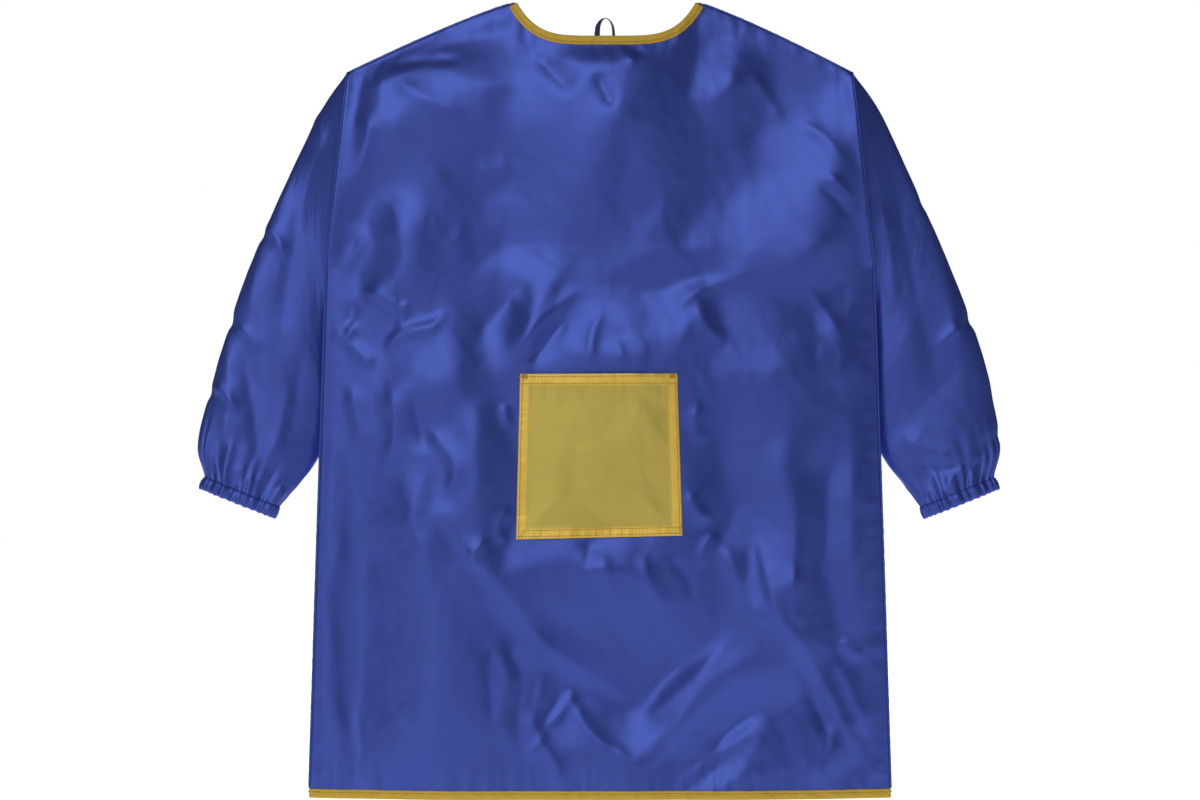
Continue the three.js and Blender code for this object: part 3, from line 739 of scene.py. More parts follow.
@dataclass(frozen=True)
class ClothFinish:
    """The finish of a woven cloth or a tape."""

    name: str
    light: tuple[float, float, float]
    dark: tuple[float, float, float]
    roughness: float
    metallic: float
    weave: Weave
    pitch: float
    crinkle: float = 0.0
    relief: float = 0.5
    sheen: float = 0.0
    sheen_roughness: float = 0.4
    second: tuple[float, float, float] | None = None
    on_object: bool = False
    blotch: float = 0.35

    def make(self) -> bpy.types.Material:
        """Builds the material.

        Returns:
            The material, which reads the piece's own flat map.
        """
        dye = Dye(self.name)
        if self.on_object:
            place = dye.value("ShaderNodeTexCoord", "Object")
        else:
            place = dye.value("ShaderNodeUVMap", 0, settings={"uv_map": UV_NAME})
        split = dye.node("ShaderNodeSeparateXYZ", inputs={0: place})
        across, along = (Value(dye.tree, split.outputs[k]) for k in (0, 1))
        depth = Value(dye.tree, split.outputs[2])
        if self.on_object:
            across, along = across + depth * 0.7, along + depth
        threads = self._threads(dye, across, along)
        broad = dye.value(
            "ShaderNodeTexNoise", 0, inputs={"Vector": place, "Scale": 9.0, "Detail": 3.0}
        )
        streak_place = dye.value(
            "ShaderNodeMapping", 0, inputs={"Vector": place, "Scale": (60.0, 900.0, 60.0)}
        )
        streak = dye.value(
            "ShaderNodeTexNoise", 0, inputs={"Vector": streak_place, "Scale": 1.0, "Detail": 2.0}
        )
        shade = (
            (broad - 0.5) * self.blotch + (streak - 0.5) * 0.3 + (threads - 0.5) * 0.18 + 0.5
        )
        colour = self._mixed(dye, shade, (*self.dark, 1.0), self.light)
        if self.second is not None:
            double = dye.value(
                "ShaderNodeAttribute", "Fac", settings={"attribute_name": "double"}
            )
            colour = self._mixed(dye, double, colour, self.second)
        crease = dye.value(
            "ShaderNodeTexNoise",
            0,
            settings={"noise_type": "RIDGED_MULTIFRACTAL"},
            inputs={"Vector": place, "Scale": 75.0, "Detail": 3.0, "Roughness": 0.45},
        )
        rough = (streak - 0.5) * 0.08 + (broad - 0.5) * 0.06 + self.roughness
        dye.finish(
            colour,
            rough,
            threads * self.relief + crease * self.crinkle,
            0.0002,
            Metallic=self.metallic,
            Sheen_Weight=self.sheen,
            Sheen_Roughness=self.sheen_roughness,
            Specular_IOR_Level=0.5,
        )
        return dye.material

    @staticmethod
    def _mixed(
        dye: Dye, share: Value, base: Value | tuple[float, ...], over: tuple[float, float, float]
    ) -> Value:
        """Returns one colour laid over another by a share."""
        return dye.value(
            "ShaderNodeMix",
            2,
            settings={"data_type": "RGBA"},
            inputs={0: share, 6: base, 7: (*over, 1.0)},
        )

    def _threads(self, dye: Dye, across: Value, along: Value) -> Value:
        """Returns the height of the threads, from 0 to 1."""
        count = 2 * math.pi / (self.pitch * MM)
        if self.weave is Weave.TWILL:
            return ((across + along) * count).sine() * 0.5 + 0.5
        if self.weave is Weave.RIB:
            return (along * count).sine() * 0.35 + (across * (count * 0.5)).sine() * 0.15 + 0.5
        if self.weave is Weave.PILE:
            place = dye.value("ShaderNodeTexCoord", "Object")
            return dye.value(
                "ShaderNodeTexNoise", 0, inputs={"Vector": place, "Scale": 1500.0, "Detail": 2.0}
            )
        return (across * count).sine() * (along * count).sine() * 0.5 + 0.5


class Wardrobe:
    """All the finishes of the smock."""

    def __init__(self) -> None:
        """Builds each material once."""
        self.blue_nylon = ClothFinish(
            "blue_nylon", (0.054, 0.092, 0.420), (0.040, 0.070, 0.345), 0.43, 0.66,
            Weave.PLAIN, 0.5, crinkle=1.0, relief=0.04,
        ).make()
        self.pocket_nylon = ClothFinish(
            "yellow_nylon", (0.570, 0.445, 0.085), (0.480, 0.370, 0.066), 0.45, 0.35,
            Weave.PLAIN, 0.5, crinkle=1.0, relief=0.04, second=(0.760, 0.510, 0.075),
        ).make()
        self.binding = ClothFinish(
            "yellow_binding", (0.600, 0.395, 0.034), (0.470, 0.295, 0.022), 0.55, 0.20,
            Weave.TWILL, 0.7, crinkle=0.3, relief=0.25,
        ).make()
        self.yellow_thread = ClothFinish(
            "yellow_thread", (0.56, 0.31, 0.035), (0.40, 0.21, 0.020), 0.6, 0.0,
            Weave.TWILL, 0.45, on_object=True,
        ).make()
        self.blue_thread = ClothFinish(
            "blue_thread", (0.040, 0.065, 0.30), (0.026, 0.044, 0.21), 0.6, 0.0,
            Weave.TWILL, 0.45, on_object=True,
        ).make()
        self.tape = ClothFinish(
            "dark_tape", (0.020, 0.030, 0.14), (0.010, 0.016, 0.085), 0.6, 0.0,
            Weave.RIB, 0.8, sheen=0.2,
        ).make()
        self.elastic = ClothFinish(
            "elastic", (0.70, 0.70, 0.66), (0.55, 0.55, 0.52), 0.8, 0.0,
            Weave.RIB, 1.0, on_object=True,
        ).make()
        self.patch = ClothFinish(
            "hook_and_loop", (0.014, 0.020, 0.085), (0.006, 0.010, 0.045), 0.95, 0.0,
            Weave.PILE, 0.6, sheen=0.5, on_object=True,
        ).make()


# ---------------------------------------------------------------------------------------------
# Stitches
# ---------------------------------------------------------------------------------------------


@dataclass
class StitchRows:
    """Lays rows of stitches along lines with one Geometry Nodes tree."""

    pitch: float = 3.2
    stitch: float = 2.7
    radius: float = 0.36
    tree: bpy.types.GeometryNodeTree | None = None

    def _tree(self) -> bpy.types.GeometryNodeTree:
        """Builds the tree: a line becomes points, each point gets a stitch."""
        tree = bpy.data.node_groups.new("stitches", "GeometryNodeTree")
        face = tree.interface
        face.new_socket("Line", in_out="INPUT", socket_type="NodeSocketGeometry")
        for name in ("Pitch", "Stitch", "Radius"):
            face.new_socket(name, in_out="INPUT", socket_type="NodeSocketFloat")
        face.new_socket("Thread", in_out="INPUT", socket_type="NodeSocketMaterial")
        face.new_socket("Stitches", in_out="OUTPUT", socket_type="NodeSocketGeometry")
        new = tree.nodes.new
        given, result = new("NodeGroupInput"), new("NodeGroupOutput")
        curve, points = new("GeometryNodeMeshToCurve"), new("GeometryNodeCurveToPoints")
        points.mode = "LENGTH"
        ball, shape = new("GeometryNodeMeshUVSphere"), new("GeometryNodeTransform")
        ball.inputs["Segments"].default_value = 6
        ball.inputs["Rings"].default_value = 5
        ball.inputs["Radius"].default_value = 1.0
        sizes = new("ShaderNodeCombineXYZ")
        half = new("ShaderNodeMath")
        half.operation = "MULTIPLY"
        half.inputs[1].default_value = 0.5
        place, real = new("GeometryNodeInstanceOnPoints"), new("GeometryNodeRealizeInstances")
        smooth, paint = new("GeometryNodeSetShadeSmooth"), new("GeometryNodeSetMaterial")
        for source, out, target, slot in (
            (given, "Line", curve, "Mesh"),
            (curve, "Curve", points, "Curve"),
            (given, "Pitch", points, "Length"),
            (given, "Radius", sizes, 0),
            (given, "Radius", sizes, 1),
            (given, "Stitch", half, 0),
            (half, 0, sizes, 2),
            (ball, "Mesh", shape, "Geometry"),
            (sizes, 0, shape, "Scale"),
            (points, "Points", place, "Points"),
            (points, "Rotation", place, "Rotation"),
            (shape, "Geometry", place, "Instance"),
            (place, "Instances", real, "Geometry"),
            (real, "Geometry", smooth, "Geometry"),
            (smooth, "Geometry", paint, "Geometry"),
            (given, "Thread", paint, "Material"),
            (paint, "Geometry", result, "Stitches"),
        ):
            tree.links.new(source.outputs[out], target.inputs[slot])
        return tree

    def lay(
        self, name: str, lines: Sequence[Array], material: bpy.types.Material
    ) -> bpy.types.Object:
        """Sews along lines.

        Args:
            name: The piece's name.
            lines: Lines of points, in millimetres.
            material: The thread.

        Returns:
            One object with all the stitches.
        """
        if self.tree is None:
            self.tree = self._tree()
        verts, edges = [], []
        for line in lines:
            first = len(verts)
            verts.extend((line * MM).tolist())
            edges.extend((first + k, first + k + 1) for k in range(len(line) - 1))
        mesh = bpy.data.meshes.new(name)
        mesh.from_pydata(verts, edges, [])
        piece = bpy.data.objects.new(name, mesh)
        bpy.context.scene.collection.objects.link(piece)
        sewing = piece.modifiers.new("sewing", "NODES")
        sewing.node_group = self.tree
        given = {
            "Pitch": self.pitch * MM,
            "Stitch": self.stitch * MM,
            "Radius": self.radius * MM,
            "Thread": material,
        }
        for item in self.tree.interface.items_tree:
            if item.name in given and item.in_out == "INPUT":
                sewing[item.identifier] = given[item.name]
        return settled(piece)


# ---------------------------------------------------------------------------------------------
# The body's cloth
# ---------------------------------------------------------------------------------------------

FRONT_LEANS = (
    Lean(-146, -130, 66, 38, -1.0),
    Lean(-133, -207, 38, 66, -0.9),
    Lean(-106, -295, 24, 52, -0.9),
    Lean(-55, -140, 42, 84, 0.8),
    Lean(-102, -49, 46, 20, 0.7),
    Lean(49, -126, 42, 68, -0.9),
    Lean(39, -160, 15, 34, 0.8),
    Lean(95, -62, 18, 26, 0.7),
    Lean(59, -234, 44, 17, -0.7),
    Lean(184, -115, 34, 50, 0.55),
    Lean(133, -96, 20, 28, -0.7),
    Lean(150, -190, 40, 38, 0.8),
    Lean(133, -284, 56, 36, 0.6),
    Lean(90, -298, 20, 28, -0.9),
    Lean(204, -240, 24, 30, -0.7),
    Lean(207, -301, 20, 28, 0.5),
    Lean(-1, -274, 38, 34, 1.0),
    Lean(-45, -227, 50, 17, 0.6),
    Lean(-42, -285, 12, 36, -0.9, -25),
    Lean(-75, -288, 12, 38, 0.8, -25),
    Lean(-197, -214, 20, 46, 0.8),
    Lean(-163, -308, 30, 34, 0.6),
    Lean(-92, -428, 20, 68, -0.8),
    Lean(-187, -540, 44, 112, 0.7),
    Lean(-227, -552, 13, 128, -0.9),
    Lean(-119, -401, 17, 34, 0.6),
    Lean(-139, -451, 13, 38, -0.8, 20),
    Lean(-28, -525, 52, 36, -0.7),
    Lean(32, -566, 36, 42, -0.6),
    Lean(12, -485, 34, 20, 0.6),
    Lean(93, -418, 20, 52, -0.8),
    Lean(123, -407, 20, 50, 0.5),
    Lean(150, -461, 18, 68, 0.9),
    Lean(187, -485, 16, 86, -1.0),
    Lean(218, -468, 17, 86, 0.9),
    Lean(245, -485, 8, 140, -0.9),
    Lean(76, -606, 46, 13, 1.0, 45),
    Lean(98, -634, 52, 13, -1.1, 42),
    Lean(118, -655, 46, 11, 0.9, 42),
    Lean(184, -596, 20, 44, -0.8),
    Lean(177, -647, 17, 30, 0.7),
    Lean(208, -653, 14, 28, -0.7),
    Lean(-69, -593, 16, 50, 0.8),
    Lean(-90, -599, 8, 42, -1.0),
    Lean(-48, -606, 8, 38, -1.0),
    Lean(5, -636, 44, 30, 0.6),
)

FRONT_FOLDS = (
    Fold(
        ((-150, -411), (-129, -465), (-96, -502), (-75, -529), (-45, -566), (5, -599), (39, -620)),
        8, 3.4, 1.9,
    ),
    Fold(((-144, -450), (-118, -492), (-92, -524)), 7, -2.2),
    Fold(((103, -468), (117, -498), (133, -532), (157, -552)), 6.5, 3.0, 1.8),
    Fold(
        ((130, -440), (154, -532), (167, -552), (184, -579), (201, -606), (224, -653), (246, -687)),
        6, 2.8, 1.8,
    ),
    Fold(((170, -492), (175, -556)), 6, 2.2),
    Fold(((201, -569), (221, -606), (241, -653)), 6, 2.6, 1.6),
    Fold(((208, -560), (232, -578)), 5, 1.8),
    Fold(((168, -552), (185, -610), (205, -650)), 6, -1.8),
    Fold(((-237, -284), (-226, -296), (-213, -280)), 4.5, 2.4),
    Fold(((-216, -262), (-222, -286)), 5, -1.8),
    Fold(((-230, -168), (-212, -146), (-204, -112), (-214, -88)), 6, 2.6, 1.5),
    Fold(((-228, -190), (-210, -210), (-228, -238)), 6, 2.2),
    Fold(((-208, -250), (-178, -268), (-170, -262)), 5, 2.6, 1.5),
    Fold(((-136, -268), (-146, -284), (-176, -292), (-190, -312)), 5, 2.8, 1.5),
    Fold(((-170, -262), (-176, -290)), 4.5, 1.8),
    Fold(((-196, -322), (-214, -306), (-226, -300)), 5, 2.0),
    Fold(((-222, -330), (-212, -378), (-200, -402)), 6, 2.4, 1.6),
    Fold(((-184, -330), (-180, -378), (-190, -414)), 6, 2.4, 1.6),
    Fold(((-164, -340), (-152, -400)), 6, -1.8),
    Fold(((-152, -372), (-130, -402), (-128, -420), (-140, -434)), 5, 2.6, 1.5),
    Fold(((-62, -44), (-44, -60), (-22, -84)), 7, -2.4, 1.6),
    Fold(((-4, -62), (6, -84), (14, -96)), 6, -2.2),
    Fold(((12, -36), (26, -50), (34, -56)), 3.5, 1.6),
    Fold(((22, -34), (38, -48)), 3.0, -1.4),
    Fold(((30, -36), (48, -44)), 3.0, 1.2),
    Fold(((4, -38), (8, -52)), 3.0, 1.0),
    Fold(((-192, -56), (-150, -52), (-118, -52)), 5, -1.6),
    Fold(((-186, -66), (-150, -88), (-112, -104)), 7, 1.8),
    Fold(((-194, -90), (-176, -118), (-150, -150), (-120, -180)), 8, 1.6),
    Fold(((-110, -150), (-74, -146)), 7, 2.4, 1.5),
    Fold(((130, -60), (150, -88), (160, -110)), 7, 2.2),
    Fold(((196, -150), (214, -164), (224, -180)), 4.5, 2.0),
    Fold(((188, -160), (206, -172), (222, -194)), 4.5, -1.6),
    Fold(((170, -104), (196, -118), (222, -150)), 6, 1.6),
    Fold(((68, -278), (76, -260), (104, -248), (140, -238)), 7, 2.6, 1.5),
    Fold(((84, -262), (92, -282), (110, -302)), 6, 2.2),
    Fold(((180, -248), (196, -270), (216, -302)), 6, 1.8),
    Fold(((-74, -320), (-56, -286), (-30, -262), (-14, -250)), 6, 2.8, 1.6),
    Fold(((-62, -322), (-46, -296), (-24, -276)), 6, -2.2),
    Fold(((-10, -320), (-6, -290), (4, -270)), 5, 1.6),
    Fold(((20, -318), (14, -296)), 4, 1.2),
    Fold(((88, -350), (84, -372), (92, -392)), 5, 1.8),
    Fold(((100, -458), (84, -446), (76, -428)), 5, 2.0),
    Fold(((104, -462), (92, -480), (88, -502)), 5, 1.8),
    Fold(((-84, -352), (-80, -376)), 4, 1.6),
    Fold(((-78, -440), (-88, -462), (-82, -480)), 5, 1.8),
    Fold(((-96, -470), (-112, -486), (-104, -500)), 4, 1.8),
    Fold(((-94, -545), (-98, -590), (-92, -640)), 6, -2.2, 1.4),
    Fold(((-48, -570), (-58, -612), (-52, -640)), 6, -2.4, 1.4),
    Fold(((-74, -560), (-76, -610), (-78, -670)), 8, 1.8),
    Fold(((-56, -644), (-38, -672), (-40, -696)), 5, 2.0),
    Fold(((-30, -600), (-10, -640), (22, -662), (40, -676)), 6, 1.8),
    Fold(((-50, -640), (-34, -622), (-20, -600)), 5, 1.6),
    Fold(((-64, -668), (-46, -636)), 5, 1.4),
    Fold(((20, -640), (62, -612), (104, -570), (124, -548)), 9, 2.2, 1.4),
    Fold(((34, -690), (72, -650), (122, -606), (150, -588)), 9, -2.2, 1.4),
    Fold(((62, -694), (104, -660), (148, -628)), 8, 2.0),
    Fold(((0, -480), (10, -520), (14, -540)), 6, 1.4),
    Fold(((36, -480), (44, -510), (60, -540)), 6, 1.6),
    Fold(((62, -486), (78, -510), (80, -530)), 6, -1.4),
    Fold(((-8, -470), (-12, -500)), 5, -1.2),
    Fold(((-246, -380), (-247, -460), (-250, -560), (-252, -660)), 7, 2.0),
    Fold(((-214, -480), (-222, -560), (-218, -640)), 12, -2.0),
    Fold(((232, -380), (234, -460), (236, -560)), 8, 1.6),
    Fold(((236, -690), (246, -664), (238, -640)), 4, 1.8),
    Fold(((-226, -420), (-228, -470), (-240, -520)), 7, 1.8),
)

BACK_LEANS = (
    Lean(-150, -140, 60, 50, -0.8),
    Lean(-60, -120, 40, 70, 0.7),
    Lean(60, -130, 46, 80, -0.8),
    Lean(150, -150, 50, 60, 0.8),
    Lean(-180, -300, 36, 80, 0.8),
    Lean(-90, -330, 40, 90, -0.7),
    Lean(110, -330, 44, 90, 0.7),
    Lean(196, -340, 26, 90, -0.8),
    Lean(-200, -520, 24, 120, -0.7),
    Lean(-130, -540, 34, 110, 0.8),
    Lean(90, -520, 38, 100, -0.8),
    Lean(160, -560, 30, 110, 0.8),
    Lean(-70, -620, 24, 70, -0.7),
    Lean(70, -640, 30, 50, 0.6),
)

BACK_FOLDS = (
    Fold(((-230, -180), (-190, -230), (-150, -300), (-120, -400)), 10, 3.0, 1.6),
    Fold(((226, -190), (190, -250), (160, -330), (150, -430)), 10, 3.0, 1.6),
    Fold(((-200, -420), (-190, -520), (-196, -650)), 10, 2.6, 1.4),
    Fold(((-120, -460), (-134, -560), (-126, -690)), 9, 2.4, 1.4),
    Fold(((180, -450), (170, -560), (182, -690)), 10, 2.6, 1.4),
    Fold(((96, -420), (104, -540), (92, -690)), 9, -2.4, 1.4),
    Fold(((-80, -60), (-110, -110), (-150, -140)), 7, 2.0),
    Fold(((80, -60), (120, -100), (160, -120)), 7, 2.0),
    Fold(((-66, -200), (-74, -300), (-62, -380)), 8, -2.0),
    Fold(((230, -300), (214, -380), (220, -470)), 8, 2.0),
    Fold(((-236, -300), (-216, -370), (-222, -440)), 8, 2.0),
    Fold(((200, -590), (224, -640), (236, -690)), 7, 2.4),
    Fold(((-210, -580), (-230, -630), (-240, -690)), 7, 2.4),
)


@dataclass
class Body:
    """The front and the two backs, each one piece of cloth."""

    cut: Cut
    wardrobe: Wardrobe
    grid: float = 2.72
    cloth: float = 0.35
    front: Panel = field(init=False)
    back: Panel = field(init=False)

    def __post_init__(self) -> None:
        """Sets up both faces of the smock."""
        self.front = Panel(
            Side.FRONT, self.cut, FRONT_FOLDS, LeanField(FRONT_LEANS, 0.66, 3), 11
        )
        self.back = Panel(Side.BACK, self.cut, BACK_FOLDS, LeanField(BACK_LEANS, 0.40, 4), 21)

    def _rows(self, x_of: Callable[[Array, Array], Array], columns: Array) -> tuple[Array, Array]:
        """Returns a grid of x and z that runs from the top edge to the hem."""
        cut = self.cut
        top = cut.top_edge(x_of(columns, np.full(columns.shape, -30.0)))
        count = int(cut.length / self.grid) + 1
        share = np.linspace(0.0, 1.0, count)[:, None]
        z = top[None, :] + share * (cut.hem_cut + 0.4 - top[None, :])
        return x_of(columns[None, :], z), z

    def make_front(self) -> bpy.types.Object:
        """Builds the front, with the side seams on its edges."""
        cut = self.cut
        columns = np.linspace(-1.0, 1.0, int(2 * cut.hem_half / self.grid) + 1)
        x, z = self._rows(lambda u, h: u * cut.half_width(h), columns)
        y = self.front.y(x, z)
        piece = skin(
            "front_cloth",
            np.stack([x, y, z], axis=-1),
            np.stack([x, z], axis=-1),
            outward=lambda p: np.array([0.0, -1.0, 0.0]),
        )
        thicken(piece, self.cloth)
        dress(piece, self.wardrobe.blue_nylon)
        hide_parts("front_panel")
        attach(piece, "smock_body")
        return piece

    def flap_step(self, hand: Hand, x: Array) -> Array:
        """Returns how far the left back steps in where the right one laps over it."""
        if hand is Hand.RIGHT:
            return np.zeros(np.shape(x))
        cut = self.cut
        return cut.lap_step * ease(-cut.flap_overlap - 34.0, -cut.flap_overlap - 2.0, x)

    def back_y(self, hand: Hand, x: Array, z: Array) -> Array:
        """Returns Y of one back's cloth."""
        return self.back.y(x, z) - self.flap_step(hand, x)

    def make_back(self, hand: Hand) -> bpy.types.Object:
        """Builds one back, from its side seam to its edge past the middle.

        Args:
            hand: Which back.

        Returns:
            The piece.
        """
        cut, sign = self.cut, hand.value
        edge = -cut.flap_overlap
        columns = np.linspace(0.0, 1.0, int((cut.hem_half + 30.0) / self.grid) + 1)

        def across(u: Array, h: Array) -> Array:
            """Returns x for a share of the way from the free edge to the side seam."""
            return sign * (edge + u * (cut.half_width(h) - edge))

        x, z = self._rows(across, columns)
        y = self.back_y(hand, x, z)
        piece = skin(
            f"back_cloth_{hand.word}",
            np.stack([x, y, z], axis=-1),
            np.stack([x, z], axis=-1),
            outward=lambda p: np.array([0.0, 1.0, 0.0]),
        )
        thicken(piece, self.cloth)
        dress(piece, self.wardrobe.blue_nylon)
        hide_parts(f"back_panel_{hand.word}", f"back_flap_{hand.word}")
        bend_at_flap(piece, hand, cut)
        return piece


def bend_at_flap(piece: bpy.types.Object, hand: Hand, cut: Cut) -> None:
    """Bakes the placement of a piece of the back into its mesh."""
    side = hand.value * MM
    side * (cut.flap_fold + 14.0)
    side * (cut.flap_fold - 14.0)
    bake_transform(piece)


# ---------------------------------------------------------------------------------------------
# Bindings and seams
# ---------------------------------------------------------------------------------------------

BINDING_PROFILE = (
    (7.05, 0.35), (6.75, 0.85), (6.1, 1.0), (5.2, 0.98), (4.75, 0.82), (4.4, 0.72),
    (4.05, 0.82), (3.4, 1.0), (2.0, 1.08), (0.6, 1.08), (-0.4, 0.95), (-0.95, 0.55),
    (-1.1, 0.0), (-0.95, -0.55), (-0.4, -0.95), (0.6, -1.05), (3.4, -1.0), (4.4, -0.75),
    (5.4, -1.0), (6.75, -0.85), (7.0, -0.35), (6.6, -0.28), (0.3, -0.28), (-0.2, 0.0),
    (0.3, 0.28), (6.6, 0.28),
)


@dataclass
class Binding:
    """Bias tape folded over an edge of the cloth, with its row of stitches."""

    y_of: Callable[[Array, Array], Array]
    side: Side
    edge: Array
    inward: Array
    seed: int
    stitch_inset: float = 4.4

    def _spot(self, k: Array, h: Array) -> Array:
        """Returns points at k inwards from the edge and h out of the cloth."""
        reach = np.maximum(k, 0.0)
        x, z = self.edge[:, 0] + self.inward[:, 0] * k, self.edge[:, 1] + self.inward[:, 1] * k
        on_x = self.edge[:, 0] + self.inward[:, 0] * reach
        on_z = self.edge[:, 1] + self.inward[:, 1] * reach
        return np.stack([x, self.y_of(on_x, on_z) + self.side.value * h, z], axis=-1)

    def tape(self, name: str) -> bpy.types.Object:
        """Builds the tape.

        Args:
            name: The piece's name.

        Returns:
            The piece, with closed ends.
        """
        gone = np.concatenate(
            [[0.0], np.cumsum(np.linalg.norm(np.diff(self.edge, axis=0), axis=1))]
        )
        fine = Ripple(self.seed)
        columns, flat = [], []
        walked = 0.0
        last = BINDING_PROFILE[-1]
        for k, h in BINDING_PROFILE:
            walked += math.hypot(k - last[0], h - last[1])
            last = (k, h)
            puff = 1.0 + 0.30 * fine.layered(gone / 6.0, np.full(gone.shape, k / 5.0), 2)
            wander = 0.22 * fine.at(gone / 8.0 + 60.0, np.zeros(gone.shape)) * (k > 5.5)
            outer = abs(h) > 0.3
            columns.append(self._spot(k + wander, h * puff if outer else np.full(gone.shape, h)))
            flat.append(np.stack([gone, np.full(gone.shape, walked)], axis=-1))
        points = np.stack(columns, axis=1)
        piece = skin(name, points, np.stack(flat, axis=1), ring=True)
        close_ends(piece)
        return piece

    def seam_line(self) -> Array:
        """Returns the line of the stitches on the outer face."""
        count = len(self.edge)
        return self._spot(np.full(count, self.stitch_inset), np.full(count, 0.86))


def hem_edge(cut: Cut, start: float, end: float, step: float = 2.0) -> tuple[Array, Array]:
    """Returns the hem's edge from one x to another, and its way inwards."""
    count = max(8, int(abs(end - start) / step))
    x = np.linspace(start, end, count)
    edge = np.stack([x, np.full(count, cut.hem_cut)], axis=-1)
    return edge, np.tile(np.array([0.0, 1.0]), (count, 1))


def neck_edge(cut: Cut, start: float, end: float, step: float = 1.5) -> tuple[Array, Array]:
    """Returns the neckline's edge from one x to another, and its way into the cloth."""
    dense = np.linspace(start, end, 1200)
    line = np.stack([dense, cut.top_edge(dense)], axis=-1)
    gone = np.concatenate([[0.0], np.cumsum(np.linalg.norm(np.diff(line, axis=0), axis=1))])
    at = np.linspace(0.0, gone[-1], max(8, int(gone[-1] / step)))
    edge = np.stack([np.interp(at, gone, line[:, k]) for k in (0, 1)], axis=-1)
    along = np.gradient(edge, axis=0)
    along /= np.linalg.norm(along, axis=1, keepdims=True)
    inward = np.stack([along[:, 1], -along[:, 0]], axis=-1) * np.sign(end - start)
    return edge, inward


@dataclass
class Trim:
    """The bindings, their stitches, and the seams that join the body."""

    cut: Cut
    wardrobe: Wardrobe
    body: Body
    sewing: StitchRows

    def _bind(
        self, name: str, binding: Binding, nodes: Sequence[str]
    ) -> tuple[bpy.types.Object, Array]:
        """Makes one tape and returns it with its stitch line."""
        piece = binding.tape(name)
        dress(piece, self.wardrobe.binding)
        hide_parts(*nodes)
        return piece, binding.seam_line()

    def make(self) -> None:
        """Builds the whole trim."""
        self._front_bindings()
        for hand in Hand:
            self._back_bindings(hand)
            self._edge_stitches(hand)
            self._seams(hand)

    def _front_bindings(self) -> None:
        """Binds the front of the neck and the front of the hem."""
        cut, front = self.cut, self.body.front
        low, high = cut.neck_shift - cut.neck_half, cut.neck_shift + cut.neck_half
        neck = Binding(front.y, Side.FRONT, *neck_edge(cut, low + 0.4, high - 0.4), seed=31)
        piece, line = self._bind("neck_binding_front", neck, ["front_neck_binding"])
        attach(piece, "smock_body")
        rows = [("neck_stitches_front", line, "neck_binding_thread")]
        hem = Binding(front.y, Side.FRONT, *hem_edge(cut, -cut.hem_half, cut.hem_half), seed=32)
        piece, line = self._bind("hem_binding_front", hem, ["front_hem_binding"])
        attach(piece, "smock_body")
        rows.append(("hem_stitches_front", line, "hem_binding_thread"))
        for name, line, node in rows:
            stitches = self.sewing.lay(name, [line], self.wardrobe.yellow_thread)
            fix_on(stitches, self.wardrobe.yellow_thread, "yellow_thread", "smock_body", node)

    def _back_bindings(self, hand: Hand) -> None:
        """Binds the neck and the hem of one back."""
        cut, sign, word = self.cut, hand.value, hand.word

        def y_of(x: Array, z: Array) -> Array:
            """Returns Y of this back's cloth."""
            return self.body.back_y(hand, x, z)

        far = cut.neck_shift + sign * (cut.neck_half - 0.4)
        near = -sign * (cut.flap_overlap - 0.3)
        ends = sorted((near, far))
        neck = Binding(y_of, Side.BACK, *neck_edge(cut, *ends), seed=33)
        piece, neck_line = self._bind(
            f"neck_binding_back_{word}", neck, [f"back_neck_binding_{word}"]
        )
        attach(piece, f"{word}_flap")
        ends = sorted((near, sign * cut.hem_half))
        hem = Binding(y_of, Side.BACK, *hem_edge(cut, *ends), seed=34)
        piece, hem_line = self._bind(
            f"hem_binding_back_{word}",
            hem,
            [f"back_hem_binding_{word}", f"flap_hem_binding_{word}"],
        )
        bend_at_flap(piece, hand, cut)
        thread = self.wardrobe.yellow_thread
        stitches = self.sewing.lay(f"neck_stitches_back_{word}", [neck_line], thread)
        fix_on(stitches, thread, "yellow_thread", f"{word}_flap")
        stitches = self.sewing.lay(f"hem_stitches_back_{word}", [hem_line], thread)
        dress(stitches, thread)
        bend_at_flap(stitches, hand, cut)

    def _edge_stitches(self, hand: Hand) -> None:
        """Sews the turned edge of one back's opening."""
        cut, sign, word = self.cut, hand.value, hand.word
        x = np.full(220, -sign * (cut.flap_overlap - 8.0))
        z = np.linspace(-46.0, cut.hem_cut + 9.0, 220)
        y = self.body.back_y(hand, x, z) + 0.32
        thread = self.wardrobe.blue_thread
        line = np.stack([x, y, z], axis=-1)
        stitches = self.sewing.lay(f"back_edge_stitches_{word}", [line], thread)
        fix_on(stitches, thread, "blue_thread", f"{word}_flap", f"back_edge_thread_{word}")

    def _seams(self, hand: Hand) -> None:
        """Joins the front to one back along the shoulder and the side, and to its sleeve."""
        cut, sign, word = self.cut, hand.value, hand.word
        z = np.linspace(cut.underarm, cut.hem_cut + 8.0, 240)
        side = np.stack([sign * (cut.half_width(z) + 0.1), np.zeros(240), z], axis=-1)
        self._seam(f"side_seam_cord_{word}", side, f"side_seam_{word}", 1.1)
        x = np.linspace(cut.neck_shift + sign * (cut.neck_half + 6.0), sign * cut.shoulder_half, 90)
        shoulder = np.stack([x, np.zeros(90), cut.top_edge(x) - 0.3], axis=-1)
        self._seam(f"shoulder_seam_cord_{word}", shoulder, f"shoulder_seam_{word}", 1.0)
        turn = np.linspace(0.0, 2 * math.pi, 160)
        z = -cut.shoulder_drop - cut.armhole_depth * 0.5 * (1 - np.cos(turn))
        y = -(cut.edge_gap + cut.armhole_opening * np.abs(np.sin(turn))) * np.sign(np.sin(turn))
        ring = np.stack([sign * (cut.half_width(z) + 0.3), y, z], axis=-1)
        self._seam(f"armhole_seam_cord_{word}", ring, f"armhole_seam_{word}", 0.8)

